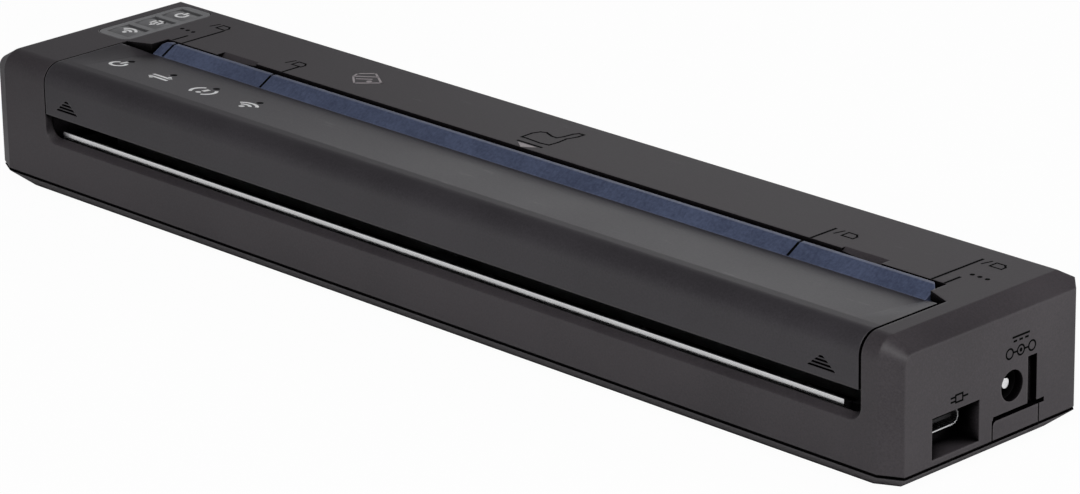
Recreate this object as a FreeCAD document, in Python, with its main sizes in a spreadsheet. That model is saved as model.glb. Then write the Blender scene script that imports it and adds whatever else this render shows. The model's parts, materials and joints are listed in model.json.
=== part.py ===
import FreeCAD, Part
import Sketcher
import math
import os

# A portable thermal printer for A4 paper: housing, release cover with its platen roller, thermal head,
# gear train, battery bay and battery door. Millimetres. The origin is on the surface that the printer
# stands on, below its middle. X runs along the printer with the ports at +X, the paper leaves at -Y.

doc = FreeCAD.newDocument("portable_thermal_printer")

# Driving dimensions, in the order of the pieces that use them.
DIMENSIONS = (
    # Widths, depths and heights that add up to the overall size
    ("strip_width", 216, "paper guide strip along X; the widest sheet"),
    ("cover_margin", 6, "release cover past each end of the strip"),
    ("left_end", 18, "housing left of the release cover"),
    ("right_end", 9, "housing right of the release cover"),
    ("battery_width", 19.6, "battery along Y"),
    ("battery_height", 19.6, "battery along Z"),
    ("battery_gap", 0.2, "clearance round the battery"),
    ("rear_space", 4.4, "from the battery bay to the rear face"),
    ("board_space", 4.8, "from the battery bay to the case's ceiling"),
    ("frame_wall", 1.2, "walls of the inner frame"),
    # Housing
    ("foot_lift", 0.5, "gap between the lower case and the table"),
    ("parting_height", 4.4, "height of the joint between upper and lower case"),
    ("case_wall", 1.8, "wall of the upper case"),
    ("floor_wall", 1.6, "floor of the lower case and plate of the battery door"),
    ("overrun", 1, "how far a cutter runs past the face that it cuts"),
    ("end_bevel_run", 4.6, "bevel round the front and top of each end, along X"),
    ("end_bevel_drop", 2.5, "the same bevel at the top, along Z"),
    ("front_corner_set", 2.3, "the same bevel at the front, along Y"),
    ("rear_corner_run", 6, "upright rear corner bevel, along X"),
    ("rear_corner_set", 6, "the same bevel, along Y"),
    ("front_round", 4.2, "round between top and front face"),
    ("rear_bevel_set", 6, "bevel between top and rear face, along Y"),
    ("rear_bevel_drop", 4, "the same bevel, along Z"),
    ("base_bevel_run", 4, "how far the lower case draws in at each end"),
    ("base_bevel_set", 3.6, "how far the lower case draws in at front and rear"),
    ("shadow_height", 0.6, "height of the groove at the parting line"),
    ("shadow_depth", 0.5, "depth of that groove"),
    ("tongue_height", 1.2, "tongue of the lower case inside the upper case"),
    ("tongue_wall", 0.9, "wall of that tongue"),
    ("tongue_gap", 0.1, "clearance round that tongue"),
    # Paper and release cover
    ("cover_gap", 0.3, "gap round the release cover"),
    ("cover_wall", 1.6, "wall of the release cover"),
    ("cover_height", 10.6, "release cover's front along Z"),
    ("cover_dip", 1.9, "how far the cover's top falls towards the feed slot"),
    ("cover_flat", 1.8, "level land behind the cover's front round"),
    ("cover_depth", 24.5, "release cover along Y"),
    ("cover_corner_set", 3.5, "how far the cover's rear corners are cut back"),
    ("cover_corner_run", 6.2, "length of that cut along X"),
    ("strip_reach", 4.4, "strip behind the release cover"),
    ("strip_land", 0.9, "level land along the strip's rear edge"),
    ("strip_wall", 1.5, "height of the strip below the cover's skin"),
    ("strip_lip", 1.2, "height of the strip's rear face"),
    ("strip_seat_gap", 0.1, "joint between strip and cover"),
    ("strip_corner", 1.6, "cut at the strip's rear corners"),
    ("slot_wide", 2, "feed slot between the strip and the case"),
    ("slot_narrow", 0.7, "feed slot outside the finger scallops"),
    ("strip_end_gap", 0.8, "gap at the ends of the strip"),
    ("notch_tip_set", 1.7, "tip of the finger notches before the cover's rear edge"),
    ("notch_inner_set", 0.6, "inner corner of the notches behind that edge"),
    ("scallop_inset", 20.5, "finger scallops from the strip's ends"),
    ("scallop_width", 11, "finger scallop along X"),
    ("scallop_set", 2, "how far a scallop cuts into the top"),
    ("scallop_drop", 1.5, "how far a scallop falls towards the slot"),
    ("recess_set", 16.8, "lower edge of the paper exit below the top"),
    ("recess_rise", 1, "how far the exit's lip rises inwards"),
    ("recess_corner", 3, "round at the exit's lower corners"),
    ("arrow_width", 6.8, "engraved triangle on the cover's front"),
    ("arrow_height", 2.8, "the same, along Z"),
    ("arrow_set", 8.9, "base of the triangles below the top"),
    ("arrow_left_inset", 7, "left triangle from the cover's end"),
    ("arrow_right_inset", 8.9, "right triangle from the cover's end"),
    ("arrow_depth", 0.4, "depth of its stripes"),
    ("arrow_stripes", 4, "stripes in each triangle"),
    ("lamp_pitch", 13.55, "distance between indicator lamps"),
    ("lamp_inset", 9, "first indicator lamp from the cover's end"),
    ("lamp_set", 8.2, "indicator lamps before the cover's rear edge"),
    ("lamp_hole", 0.75, "radius of a lamp's hole"),
    ("lamp_play", 0.03, "radial clearance of a lens"),
    ("lamp_count", 4, "indicator lamps"),
    ("pivot_set", 3.9, "hinge of the release cover behind the front face"),
    ("pivot_drop", 8.6, "hinge of the release cover below the top"),
    ("pin_radius", 1, "hinge pins"),
    ("pin_play", 0.07, "radial clearance of a running pin"),
    ("press_play", 0.02, "radial clearance of a fixed pin"),
    ("ear_radius", 2, "hinge ears"),
    ("ear_wall", 1.6, "hinge ears along X"),
    ("cheek_wall", 1.4, "cheeks of the case that hold the hinge pins"),
    ("cheek_set", 0.3, "cheeks behind the edge of the opening"),
    ("cheek_height", 17, "lower edge of the cheeks below the top"),
    ("cheek_depth", 18.5, "cheeks' rear edge behind the front face"),
    ("frame_skin", 1, "plate of the cover frame"),
    ("frame_inset", 0.3, "cover frame within the cover's ends"),
    ("frame_front", 1.2, "front wall of the cover frame"),
    ("frame_front_set", 7.4, "lower edge of the frame's front wall below the top"),
    ("frame_rear_gap", 0.4, "cover frame behind the cover's rear edge"),
    # Platen roller
    ("platen_set", 17.5, "platen axis behind the front face"),
    ("platen_drop", 10, "platen axis below the top"),
    ("platen_radius", 4.85, "rubber of the platen"),
    ("shaft_radius", 2, "steel shaft of the platen"),
    ("rubber_left_inset", 1.3, "rubber within the strip's left end"),
    ("rubber_right_inset", 0.9, "rubber within the strip's right end"),
    ("arm_wall", 1.6, "arms that carry the platen"),
    ("arm_right_reach", 2, "right arm past the strip's end"),
    ("arm_foot", 3.8, "radius of an arm's foot round the shaft"),
    ("arm_half", 4.6, "half width of an arm at its root"),
    ("bush_radius", 3, "bore of an arm"),
    ("bush_flange", 3.4, "half width of a bush's square flange"),
    ("bush_flange_wall", 0.5, "flange of a bush, along X"),
    ("shaft_end", 0.8, "shaft past the right arm"),
    # Gear train
    ("tooth_module", 0.5, "pitch diameter of each tooth"),
    ("platen_teeth", 24, "platen gear"),
    ("small_teeth", 16, "small wheel of the idler"),
    ("large_teeth", 34, "large wheel of the idler"),
    ("pinion_teeth", 12, "motor pinion"),
    ("tooth_thinning", 0.1, "taken off each tooth at its pitch line"),
    ("gear_play", 0.05, "added to each centre distance"),
    ("wheel_width", 2, "platen gear and small wheel"),
    ("pinion_width", 1.8, "pinion and large wheel"),
    ("wheel_gap", 0.2, "between the two planes of gears"),
    ("post_radius", 1, "post of the idler"),
    ("plate_wall", 0.8, "gear plate"),
    ("plate_gap", 0.3, "gear plate to the large wheel"),
    ("motor_radius", 7.5, "motor can"),
    ("motor_length", 14.4, "motor can along X"),
    ("motor_shaft", 0.75, "motor shaft"),
    ("motor_bush", 2.2, "bush of the motor"),
    ("plate_front_set", 0.5, "gear plate's front edge behind the platen axis"),
    ("plate_rear_reach", 7.9, "gear plate behind the motor's axis"),
    ("plate_rise", 8.5, "gear plate above the motor's axis"),
    ("plate_foot", 5, "foot of the gear plate, along X"),
    # Thermal head
    ("sink_drop", 8.6, "underside of the heat sink below the platen axis"),
    ("sink_wall", 2, "heat sink"),
    ("sink_front_reach", 6, "heat sink before the platen axis"),
    ("sink_rear_reach", 6.5, "heat sink behind the platen axis"),
    ("sink_inset", 3, "heat sink within the strip's ends"),
    ("head_inset", 1, "ceramic within the sink's ends"),
    ("head_wall", 1.1, "ceramic plate"),
    ("head_front_reach", 4.5, "ceramic before the platen axis"),
    ("glaze_half", 0.8, "half width of the glazed heater line"),
    ("glaze_rise", 0.35, "heater line above the ceramic"),
    ("driver_set", 2.6, "driver cover behind the platen axis"),
    ("driver_depth", 3, "driver cover along Y"),
    ("driver_rise", 1.1, "driver cover above the ceramic"),
    ("head_pivot_set", 8.4, "pivot of the head behind the platen axis"),
    ("head_pivot_drop", 10.4, "pivot of the head below the platen axis"),
    ("head_ear", 2.2, "radius of the heat sink's ears"),
    ("head_ear_wall", 2, "heat sink's ears along X"),
    ("spring_wall", 0.3, "plate spring under the head"),
    ("spring_front_reach", 5.4, "spring before the platen axis"),
    ("spring_rear_reach", 1.4, "spring behind the platen axis"),
    ("spring_finger", 9, "width of a spring finger"),
    ("spring_fingers", 5, "spring fingers"),
    ("spring_margin", 48, "strip's width that the spring fingers leave free"),
    # Inner frame
    ("frame_left_reach", 1.1, "inner frame past the strip's left end"),
    ("frame_right_reach", 1.8, "inner frame past the strip's right end"),
    ("frame_end_wall", 1.4, "end walls of the inner frame"),
    ("frame_end_set", 5.8, "top of the end walls below the platen axis"),
    ("frame_floor_set", 3.9, "frame's base behind the front face"),
    ("nose_set", 4.8, "rear face of the frame's front wall behind the front face"),
    ("frame_nose_wall", 1.4, "that wall"),
    ("nose_drop", 15.6, "top of the front wall below the case's top"),
    ("bay_clearance", 2.5, "from the head's pivot to the battery bay"),
    ("bay_left_inset", 3.8, "battery bay within the strip's left end"),
    ("bay_right_inset", 0.5, "battery bay within the strip's right end"),
    ("bay_low", 4.6, "lower edge of the bay's rear and end walls"),
    ("battery_round", 2.5, "rounded edges of the battery"),
    ("contact_block", 5.8, "contact block along X"),
    ("contact_width", 14, "contact block along Y"),
    ("contact_height", 9, "contact block along Z"),
    ("contact_count", 4, "contact blades"),
    ("tear_wall", 0.9, "tear bar along Y"),
    ("tear_height", 7.4, "tear bar along Z"),
    ("tear_drop", 14.6, "edge of the tear bar below the case's top"),
    ("tear_bevel", 0.5, "bevel of that edge"),
    ("tear_margin", 2, "tear bar past each end of the strip"),
    ("tear_shift", 1.7, "tear bar left of the print centre"),
    ("guide_wall", 1.1, "rear paper guide"),
    ("guide_drop", 2.1, "rear guide's lower edge below the platen axis"),
    ("guide_set", 5, "rear paper guide's lower edge behind the platen axis"),
    ("sensor_width", 6, "paper sensor along X"),
    ("sensor_depth", 3, "paper sensor along Y"),
    ("sensor_gap", 1, "paper sensor behind the front wall"),
    ("flex_wall", 0.2, "flat flex cables"),
    ("flex_width", 54, "flex cable of the head"),
    ("flex_gap", 0.25, "flex cable to the wall beside it"),
    # Boards
    ("board_wall", 1.6, "main board"),
    ("board_rise", 1, "main board above the battery bay"),
    ("board_left_inset", 4.7, "main board from the bay's left end"),
    ("board_right_inset", 4, "main board from the bay's right end"),
    ("board_front_set", 3.7, "main board behind the bay's front face"),
    ("board_rear_set", 0.9, "main board before the bay's rear face"),
    ("stand_off", 1.5, "radius of a board post"),
    ("chip_height", 1.4, "chips on the main board"),
    ("port_board_low", 7.5, "underside of the port board"),
    ("port_board_wall", 1.2, "port board"),
    ("port_board_set", 12.6, "port board's left edge from the right end"),
    ("port_board_width", 6, "port board along X"),
    ("port_board_front_set", 8.9, "port board behind the front face"),
    ("port_board_rear_reach", 5.5, "port board behind the jack's axis"),
    # Ports
    ("socket_set", 16, "middle of the USB recess behind the front face"),
    ("socket_z", 9.5, "middle of the USB recess, along Z"),
    ("socket_width", 12.8, "USB recess along Y"),
    ("socket_height", 8, "USB recess along Z"),
    ("socket_depth", 5.4, "USB recess along X"),
    ("socket_wall", 1, "walls round the USB recess"),
    ("shell_width", 8.94, "USB shell along Y"),
    ("shell_height", 3.26, "USB shell along Z"),
    ("shell_wall", 0.3, "sheet of the USB shell"),
    ("shell_z", 10.4, "middle of the USB shell, along Z"),
    ("shell_reach", 2.2, "USB shell in front of the recess's back"),
    ("shell_length", 8.6, "USB shell along X"),
    ("tongue_thick", 0.7, "contact tongue inside the shell"),
    ("tongue_wide", 6.7, "the same, along Y"),
    ("tongue_set", 0.9, "the same, behind the shell's mouth"),
    ("jack_set", 31.4, "axis of the DC jack behind the front face"),
    ("jack_z", 13.6, "axis of the DC jack, along Z"),
    ("jack_bore", 3, "bore of the DC jack"),
    ("jack_depth", 10, "depth of that bore"),
    ("jack_width", 9, "body of the DC jack, along Y"),
    ("jack_height", 10, "body of the DC jack, along Z"),
    ("jack_pin", 1, "centre pin of the DC jack"),
    ("jack_pin_set", 1.6, "centre pin behind the case's end face"),
    ("channel_set", 5.6, "upright channel behind the jack's axis"),
    ("channel_width", 2.5, "that channel along Y"),
    ("channel_top", 18, "top of that channel"),
    ("channel_depth", 1.3, "depth of the channels"),
    ("channel_slit", 0.9, "gap above the door's tab"),
    ("channel_reach", 1.6, "gap above the tab past the tab's rear edge"),
    # Battery door
    ("door_left_inset", 0.7, "door's left edge from the bay's left end"),
    ("door_right_reach", 1, "door's right edge past the bay's right end"),
    ("door_gap", 0.3, "gap round the battery door"),
    ("tab_set", 26.2, "door's tab behind the front face"),
    ("tab_width", 12.6, "door's tab along Y"),
    ("tab_top", 8, "top of the door's tab"),
    ("tab_wall", 1.6, "door's tab along X"),
    ("tab_round", 1, "round at the tab's upper front corner"),
    ("door_pivot_set", 0.15, "pivot left of the door's left edge"),
    ("hook_width", 5, "door's hooks along Y"),
    ("hook_reach", 2.6, "door's hooks to the left of its edge"),
    ("hook_wall", 1.2, "door's hooks along Z"),
    ("hook_gap", 0.15, "door's hooks above the floor"),
    ("grip_count", 5, "grip grooves in the door"),
    ("grip_pitch", 2, "between grip grooves"),
    ("grip_width", 0.8, "a grip groove"),
    ("grip_depth", 0.5, "depth of a grip groove"),
    # Buttons
    ("panel_set", 12.2, "button panel from the left end"),
    ("panel_rear_set", 19.7, "middle of the button panel before the rear face"),
    ("panel_width", 10, "button panel along X"),
    ("panel_length", 24.8, "button panel along Y"),
    ("panel_round", 2.2, "corners of the button panel"),
    ("panel_play", 0.1, "gap round the button panel"),
    ("panel_flange", 0.8, "flange under the button panel"),
    ("button_pitch", 7.5, "between buttons"),
    ("button_width", 6.8, "button along X"),
    ("button_length", 5.8, "button along Y"),
    ("button_play", 0.15, "gap round a button"),
    ("button_set", 0.05, "button's crown below the panel"),
    ("button_flange", 0.5, "flange round a button's foot"),
    ("button_flange_wall", 0.4, "that flange along Z"),
    ("button_rest_gap", 0.1, "button's flange below the panel"),
    ("button_travel", 0.45, "travel of a button"),
    ("button_crown", 11, "radius of a button's crowned top"),
    ("switch_gap", 0.5, "button to its switch"),
    ("switch_size", 4, "switch body"),
    ("switch_height", 0.8, "switch body along Z"),
    ("plunger_radius", 1, "switch plunger"),
    ("plunger_height", 0.4, "switch plunger along Z"),
    ("button_board_wall", 1.2, "button board"),
    ("button_board_width", 9, "button board along X"),
    ("button_board_gap", 0.8, "button board clear of the cheek before it"),
    # Fastening
    ("screw_radius", 1.2, "case screws"),
    ("screw_head", 2.2, "head of a case screw"),
    ("screw_head_height", 1, "the same, along Z"),
    ("screw_length", 13, "case screws"),
    ("screw_sink", 0.4, "screw heads inside the lower case"),
    ("latch_length", 3, "a frame latch, along X"),
    ("latch_wall", 1, "stem of a latch, along Y"),
    ("latch_reach", 0.7, "nose of a latch over the frame"),
    ("latch_height", 1.1, "nose of a latch, upright"),
    ("latch_gap", 0.15, "round a latch in its slot"),
    ("boss_wall", 1.4, "wall round a screw"),
    ("foot_half", 3, "half the width of a rubber foot"),
    ("foot_height", 1.2, "rubber feet"),
    ("foot_play", 0.1, "gap round a foot"),
    ("catch_reach", 0.35, "front catches, proud of the tongue"),
    ("catch_length", 3, "a front catch, along Y"),
    ("catch_height", 0.6, "a front catch, upright"),
    ("catch_play", 0.1, "round a catch in its groove"),
    ("rear_left_screw_x", 21, "rear left case screw from the left end"),
    ("rear_left_screw_y", 6.2, "the same, from the rear face"),
    ("rear_right_screw_x", 10.5, "rear right case screw from the right end"),
    ("rear_right_screw_y", 6.2, "the same, from the rear face"),
    ("front_left_foot_x", 15.5, "front left foot from the left end"),
    ("front_left_foot_y", 9.5, "the same, from the front face"),
    ("front_right_foot_x", 15.5, "front right foot from the right end"),
    ("front_right_foot_y", 9.5, "the same, from the front face"),
    ("rear_left_foot_x", 11.6, "rear left foot from the left end"),
    ("rear_left_foot_y", 10.6, "the same, from the rear face"),
    ("rear_right_foot_x", 7.8, "rear right foot from the right end"),
    ("rear_right_foot_y", 11.9, "the same, from the rear face"),
)


class Size:
    """A length: its number, and the formula over the sheet that gives it."""

    def __init__(self, number, formula):
        self.number = number
        self.formula = formula

    def __add__(self, other):
        other = as_size(other)
        return Size(self.number + other.number, "(%s + %s)" % (self.formula, other.formula))

    def __sub__(self, other):
        other = as_size(other)
        return Size(self.number - other.number, "(%s - %s)" % (self.formula, other.formula))

    def __mul__(self, other):
        other = as_size(other)
        return Size(self.number * other.number, "(%s * %s)" % (self.formula, other.formula))

    def __truediv__(self, other):
        other = as_size(other)
        return Size(self.number / other.number, "(%s / %s)" % (self.formula, other.formula))

    def __neg__(self):
        return Size(-self.number, "(-%s)" % self.formula)

    def __radd__(self, other):
        return as_size(other) + self

    def __rsub__(self, other):
        return as_size(other) - self

    def __rmul__(self, other):
        return as_size(other) * self


def as_size(value):
    if isinstance(value, Size):
        return value
    return Size(float(value), repr(float(value)))


class Sheet:
    """The driving dimensions; each is read as an attribute."""

    def __init__(self, rows):
        self.sheet = doc.addObject("Spreadsheet::Sheet", "Sizes")
        for row, (alias, value, note) in enumerate(rows, 1):
            self.sheet.set("A%d" % row, str(value))
            self.sheet.setAlias("A%d" % row, alias)
            self.sheet.set("B%d" % row, note)
        doc.recompute()

    def __getattr__(self, alias):
        return Size(float(self.sheet.get(alias)), "Sizes.%s" % alias)


D = Sheet(DIMENSIONS)


def bind(item, prop, size):
    item.setExpression(prop, as_size(size).formula)


# Part primitives
TURNS = {
    "X": FreeCAD.Rotation(FreeCAD.Vector(0, 1, 0), 90),
    "Y": FreeCAD.Rotation(FreeCAD.Vector(1, 0, 0), -90),
    "Z": FreeCAD.Rotation(),
}


def place(item, x, y, z):
    bind(item, "Placement.Base.x", x)
    bind(item, "Placement.Base.y", y)
    bind(item, "Placement.Base.z", z)


def box(name, x, y, z):
    """A block between two places along each axis."""
    item = doc.addObject("Part::Box", name)
    bind(item, "Length", x[1] - x[0])
    bind(item, "Width", y[1] - y[0])
    bind(item, "Height", z[1] - z[0])
    place(item, x[0], y[0], z[0])
    return item


def rod(name, axis, centre, radius, span):
    """A round bar along an axis; centre holds its other two coordinates in X, Y, Z order."""
    item = doc.addObject("Part::Cylinder", name)
    bind(item, "Radius", radius)
    bind(item, "Height", span[1] - span[0])
    item.Placement = FreeCAD.Placement(FreeCAD.Vector(), TURNS[axis])
    where = list(centre)
    where.insert("XYZ".index(axis), span[0])
    place(item, *where)
    return item


def fuse(name, items):
    item = doc.addObject("Part::MultiFuse", name)
    item.Shapes = items
    item.Refine = True
    return item


def cut(name, base, cutters):
    item = doc.addObject("Part::Cut", name)
    item.Base = base
    item.Tool = cutters[0] if len(cutters) == 1 else fuse(name + "_cutters", cutters)
    item.Refine = True
    return item


def common(name, items):
    item = doc.addObject("Part::MultiCommon", name)
    item.Shapes = items
    item.Refine = True
    return item


def group(name, items):
    item = doc.addObject("Part::Compound", name)
    item.Links = items
    return item


# Sketches and bodies
def unit(start, end):
    run = (end[0].number - start[0].number, end[1].number - start[1].number)
    length = math.hypot(*run)
    return run[0] / length, run[1] / length


def fix_point(sketch, geometry, end, point, name):
    """Hold one point of a sketch at two lengths of the sheet."""
    for kind, letter, size in (("DistanceX", "u", point[0]), ("DistanceY", "v", point[1])):
        rule = Sketcher.Constraint(kind, -1, 1, geometry, end, size.number)
        index = sketch.addConstraint(rule)
        sketch.renameConstraint(index, name + letter)
        bind(sketch, "Constraints." + name + letter, size)


def fix_radius(sketch, geometry, radius, name):
    index = sketch.addConstraint(Sketcher.Constraint("Radius", geometry, radius.number))
    sketch.renameConstraint(index, name)
    bind(sketch, "Constraints." + name, radius)


def vector(point):
    return FreeCAD.Vector(point[0].number, point[1].number, 0)


def draw_circle(sketch, circle, name):
    u, v, radius = (as_size(part) for part in circle)
    index = sketch.addGeometry(Part.Circle(vector((u, v)), FreeCAD.Vector(0, 0, 1), radius.number))
    fix_point(sketch, index, 3, (u, v), name + "c")
    fix_radius(sketch, index, radius, name + "r")


def draw_arc(sketch, start, end, centre, radius, left_turn):
    first, last = (start, end) if left_turn else (end, start)
    angles = [math.atan2(p[1].number - centre[1].number, p[0].number - centre[0].number)
              for p in (first, last)]
    circle = Part.Circle(vector(centre), FreeCAD.Vector(0, 0, 1), radius.number)
    return sketch.addGeometry(Part.ArcOfCircle(circle, angles[0], angles[1]))


def draw_outline(sketch, corners, name):
    """A closed outline. A corner is (u, v) or (u, v, radius); a rounded one lies between level and
    upright sides."""
    points = [tuple(as_size(part) for part in corner) for corner in corners]
    nodes = []
    for i, corner in enumerate(points):
        if len(corner) == 2:
            nodes.append((corner, None))
            continue
        u, v, radius = corner
        before = unit(corner, points[i - 1])
        after = unit(corner, points[(i + 1) % len(points)])
        start = (u + radius * round(before[0]), v + radius * round(before[1]))
        end = (u + radius * round(after[0]), v + radius * round(after[1]))
        centre = (start[0] + radius * round(after[0]), start[1] + radius * round(after[1]))
        left_turn = before[1] * after[0] - before[0] * after[1] > 0
        nodes.append((start, (end, centre, radius, left_turn)))
        nodes.append((end, None))
    pieces = []
    for i, (start, arc) in enumerate(nodes):
        end = nodes[(i + 1) % len(nodes)][0]
        if arc is None:
            index = sketch.addGeometry(Part.LineSegment(vector(start), vector(end)))
            pieces.append((index, 1, 2))
            fix_point(sketch, index, 1, start, "%sp%d" % (name, i))
        else:
            index = draw_arc(sketch, start, arc[0], arc[1], arc[2], arc[3])
            pieces.append((index, 1, 2) if arc[3] else (index, 2, 1))
            fix_point(sketch, index, pieces[-1][1], start, "%sp%d" % (name, i))
            fix_radius(sketch, index, arc[2], "%sr%d" % (name, i))
    for i, piece in enumerate(pieces):
        after = pieces[(i + 1) % len(pieces)]
        sketch.addConstraint(Sketcher.Constraint("Coincident", piece[0], piece[2], after[0], after[1]))


class Body:
    """A PartDesign body. Sketches lie in a plane through the origin's axes, and a pad or a pocket runs
    between two places along that plane's normal."""

    def __init__(self, name):
        self.item = doc.addObject("PartDesign::Body", name)
        self.pockets = []

    def sketch(self, plane, outlines, offset):
        support = [f for f in self.item.Origin.OriginFeatures if f.Role == plane + "_Plane"][0]
        sketch = self.item.newObject("Sketcher::SketchObject", self.item.Name + "_sketch")
        sketch.AttachmentSupport = [(support, "")]
        sketch.MapMode = "FlatFace"
        bind(sketch, "AttachmentOffset.Base.z", offset)
        for number, outline in enumerate(outlines):
            if isinstance(outline, tuple):
                draw_circle(sketch, outline, "c%d" % number)
            else:
                draw_outline(sketch, outline, "o%d" % number)
        return sketch

    def pad(self, plane, outlines, low, high):
        """Add the outlines between two places. The XZ plane's normal points to -Y."""
        offset = -high if plane == "XZ" else low
        sketch = self.sketch(plane, outlines, offset)
        pad = self.item.newObject("PartDesign::Pad", self.item.Name + "_pad")
        pad.Profile = sketch
        bind(pad, "Length", high - low)
        return self

    def pocket(self, plane, outlines, low, high):
        """Take the outlines away between two places."""
        offset = -low if plane == "XZ" else high
        sketch = self.sketch(plane, outlines, offset)
        pocket = self.item.newObject("PartDesign::Pocket", self.item.Name + "_pocket")
        pocket.Profile = sketch
        bind(pocket, "Length", high - low)
        POCKETS.append(pocket)
        return self

    def loft(self, plane, first, second):
        """Add a loft between two outlines, each with its place along the normal."""
        sketches = []
        for outline, at in (first, second):
            sketches.append(self.sketch(plane, [outline], -at if plane == "XZ" else at))
        loft = self.item.newObject("PartDesign::AdditiveLoft", self.item.Name + "_loft")
        loft.Profile = sketches[0]
        loft.Sections = [sketches[1]]
        loft.Ruled = True
        return self

    def copies(self, feature_count, pitch, axis):
        """Repeat the last feature along an axis of the origin."""
        feature = self.item.Tip
        pattern = self.item.newObject("PartDesign::LinearPattern", self.item.Name + "_row")
        pattern.Originals = [feature]
        line = [f for f in self.item.Origin.OriginFeatures if f.Role == axis + "_Axis"][0]
        pattern.Direction = (line, [""])
        bind(pattern, "Length", pitch * (feature_count - 1))
        bind(pattern, "Occurrences", feature_count)
        self.item.Tip = pattern
        return self


POCKETS = []
PARTS = []


def finish(node, item):
    """Name a sub-part; the label is its file's name."""
    item = item.item if isinstance(item, Body) else item
    item.Label = node
    PARTS.append(item)
    return item


def rectangle(u, v, radius=None):
    corners = [(u[0], v[0]), (u[1], v[0]), (u[1], v[1]), (u[0], v[1])]
    return [corner + (radius,) if radius else corner for corner in corners]


def around(middle, width):
    """The two ends of a width about its middle."""
    return middle - width / 2, middle + width / 2


def row(middle, pitch, count):
    """Evenly spaced places about a middle."""
    count = int(as_size(count).number)
    return [middle + pitch * (i - (count - 1) / 2) for i in range(count)]


# Sizes and places that follow from the driving dimensions
FLOOR = D.foot_lift + D.floor_wall
D.bay_top = FLOOR + D.battery_gap * 2.5 + D.battery_height + D.frame_wall
D.cover_width = D.strip_width + D.cover_margin * 2
D.case_length = D.cover_width + D.left_end + D.right_end
D.works_depth = D.platen_set + D.head_pivot_set + D.bay_clearance
D.case_depth = D.works_depth + D.battery_width + D.battery_gap + D.frame_wall * 2 + D.rear_space
D.case_height = D.bay_top + D.board_space + D.case_wall
HALF_LENGTH = D.case_length / 2
HALF_DEPTH = D.case_depth / 2
FRONT = -HALF_DEPTH
TOP = D.case_height
INNER_TOP = TOP - D.case_wall
PARTING = D.parting_height

# Along X
D.print_centre = (D.left_end - D.right_end) / 2
STRIP_LEFT = D.print_centre - D.strip_width / 2
STRIP_RIGHT = D.print_centre + D.strip_width / 2
COVER_LEFT = STRIP_LEFT - D.cover_margin
COVER_RIGHT = STRIP_RIGHT + D.cover_margin
OPENING_LEFT = COVER_LEFT - D.cover_gap
OPENING_RIGHT = COVER_RIGHT + D.cover_gap * 2
D.arrow_left = COVER_LEFT + D.arrow_left_inset
D.arrow_right = COVER_RIGHT - D.arrow_right_inset
D.lamp_first = COVER_LEFT + D.lamp_inset
D.scallop_centre = D.strip_width / 2 - D.scallop_inset
D.rubber_start = STRIP_LEFT + D.rubber_left_inset
D.rubber_end = STRIP_RIGHT - D.rubber_right_inset
D.frame_left = STRIP_LEFT - D.frame_left_reach
D.frame_right = STRIP_RIGHT + D.frame_right_reach
D.arm_left = D.frame_left
D.arm_right = STRIP_RIGHT + D.arm_right_reach
D.shaft_right = D.arm_right + D.shaft_end
D.sink_left = STRIP_LEFT + D.sink_inset
D.sink_right = STRIP_RIGHT - D.sink_inset
D.spring_pitch = (D.strip_width - D.spring_margin) / (D.spring_fingers - 1)
D.tear_length = D.strip_width + D.tear_margin * 2
D.bay_left = STRIP_LEFT + D.bay_left_inset
D.bay_right = STRIP_RIGHT - D.bay_right_inset
D.battery_length = D.bay_right - D.bay_left - D.frame_wall * 2 - D.contact_block - D.battery_gap * 2.5
D.board_left = D.bay_left + D.board_left_inset
D.board_right = D.bay_right - D.board_right_inset
D.door_left = D.bay_left + D.door_left_inset
D.door_right = D.bay_right + D.door_right_reach
D.port_board_left = HALF_LENGTH - D.port_board_set
D.port_board_right = D.port_board_left + D.port_board_width
D.panel_x = D.panel_set - HALF_LENGTH

# Along Y
D.cover_rear = FRONT + D.cover_depth
D.strip_rear = D.cover_rear + D.strip_reach
D.notch_tip = D.cover_rear - D.notch_tip_set
D.notch_inner = D.cover_rear + D.notch_inner_set
D.lamp_y = D.cover_rear - D.lamp_set
D.pivot_y = FRONT + D.pivot_set
D.platen_y = FRONT + D.platen_set
D.cheek_rear = FRONT + D.cheek_depth
D.sink_front = D.platen_y - D.sink_front_reach
D.sink_rear = D.platen_y + D.sink_rear_reach
D.head_front = D.platen_y - D.head_front_reach
D.driver_front = D.platen_y + D.driver_set
D.driver_rear = D.driver_front + D.driver_depth
D.head_pivot_y = D.platen_y + D.head_pivot_set
D.spring_front = D.platen_y - D.spring_front_reach
D.spring_rear = D.platen_y + D.spring_rear_reach
D.frame_nose = FRONT + D.nose_set
D.frame_floor_front = FRONT + D.frame_floor_set
D.guide_low_y = D.platen_y + D.guide_set
D.bay_front = FRONT + D.works_depth
D.battery_front = D.bay_front + D.frame_wall + D.battery_gap / 2
D.bay_rear = D.battery_front + D.battery_width + D.battery_gap / 2 + D.frame_wall
D.board_front = D.bay_front + D.board_front_set
D.board_rear = D.bay_rear - D.board_rear_set
D.door_front = D.bay_front + D.door_gap
D.door_rear = D.bay_rear - D.door_gap
D.tab_front = FRONT + D.tab_set
D.tab_rear = D.tab_front + D.tab_width
D.socket_y = FRONT + D.socket_set
D.jack_y = FRONT + D.jack_set
D.port_board_front = FRONT + D.port_board_front_set
D.port_board_rear = D.jack_y + D.port_board_rear_reach
D.channel_y = D.jack_y + D.channel_set
D.channel_end = D.tab_rear + D.channel_reach
D.panel_y = HALF_DEPTH - D.panel_rear_set
D.button_board_length = (D.panel_y - D.cheek_rear - D.button_board_gap) * 2

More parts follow.
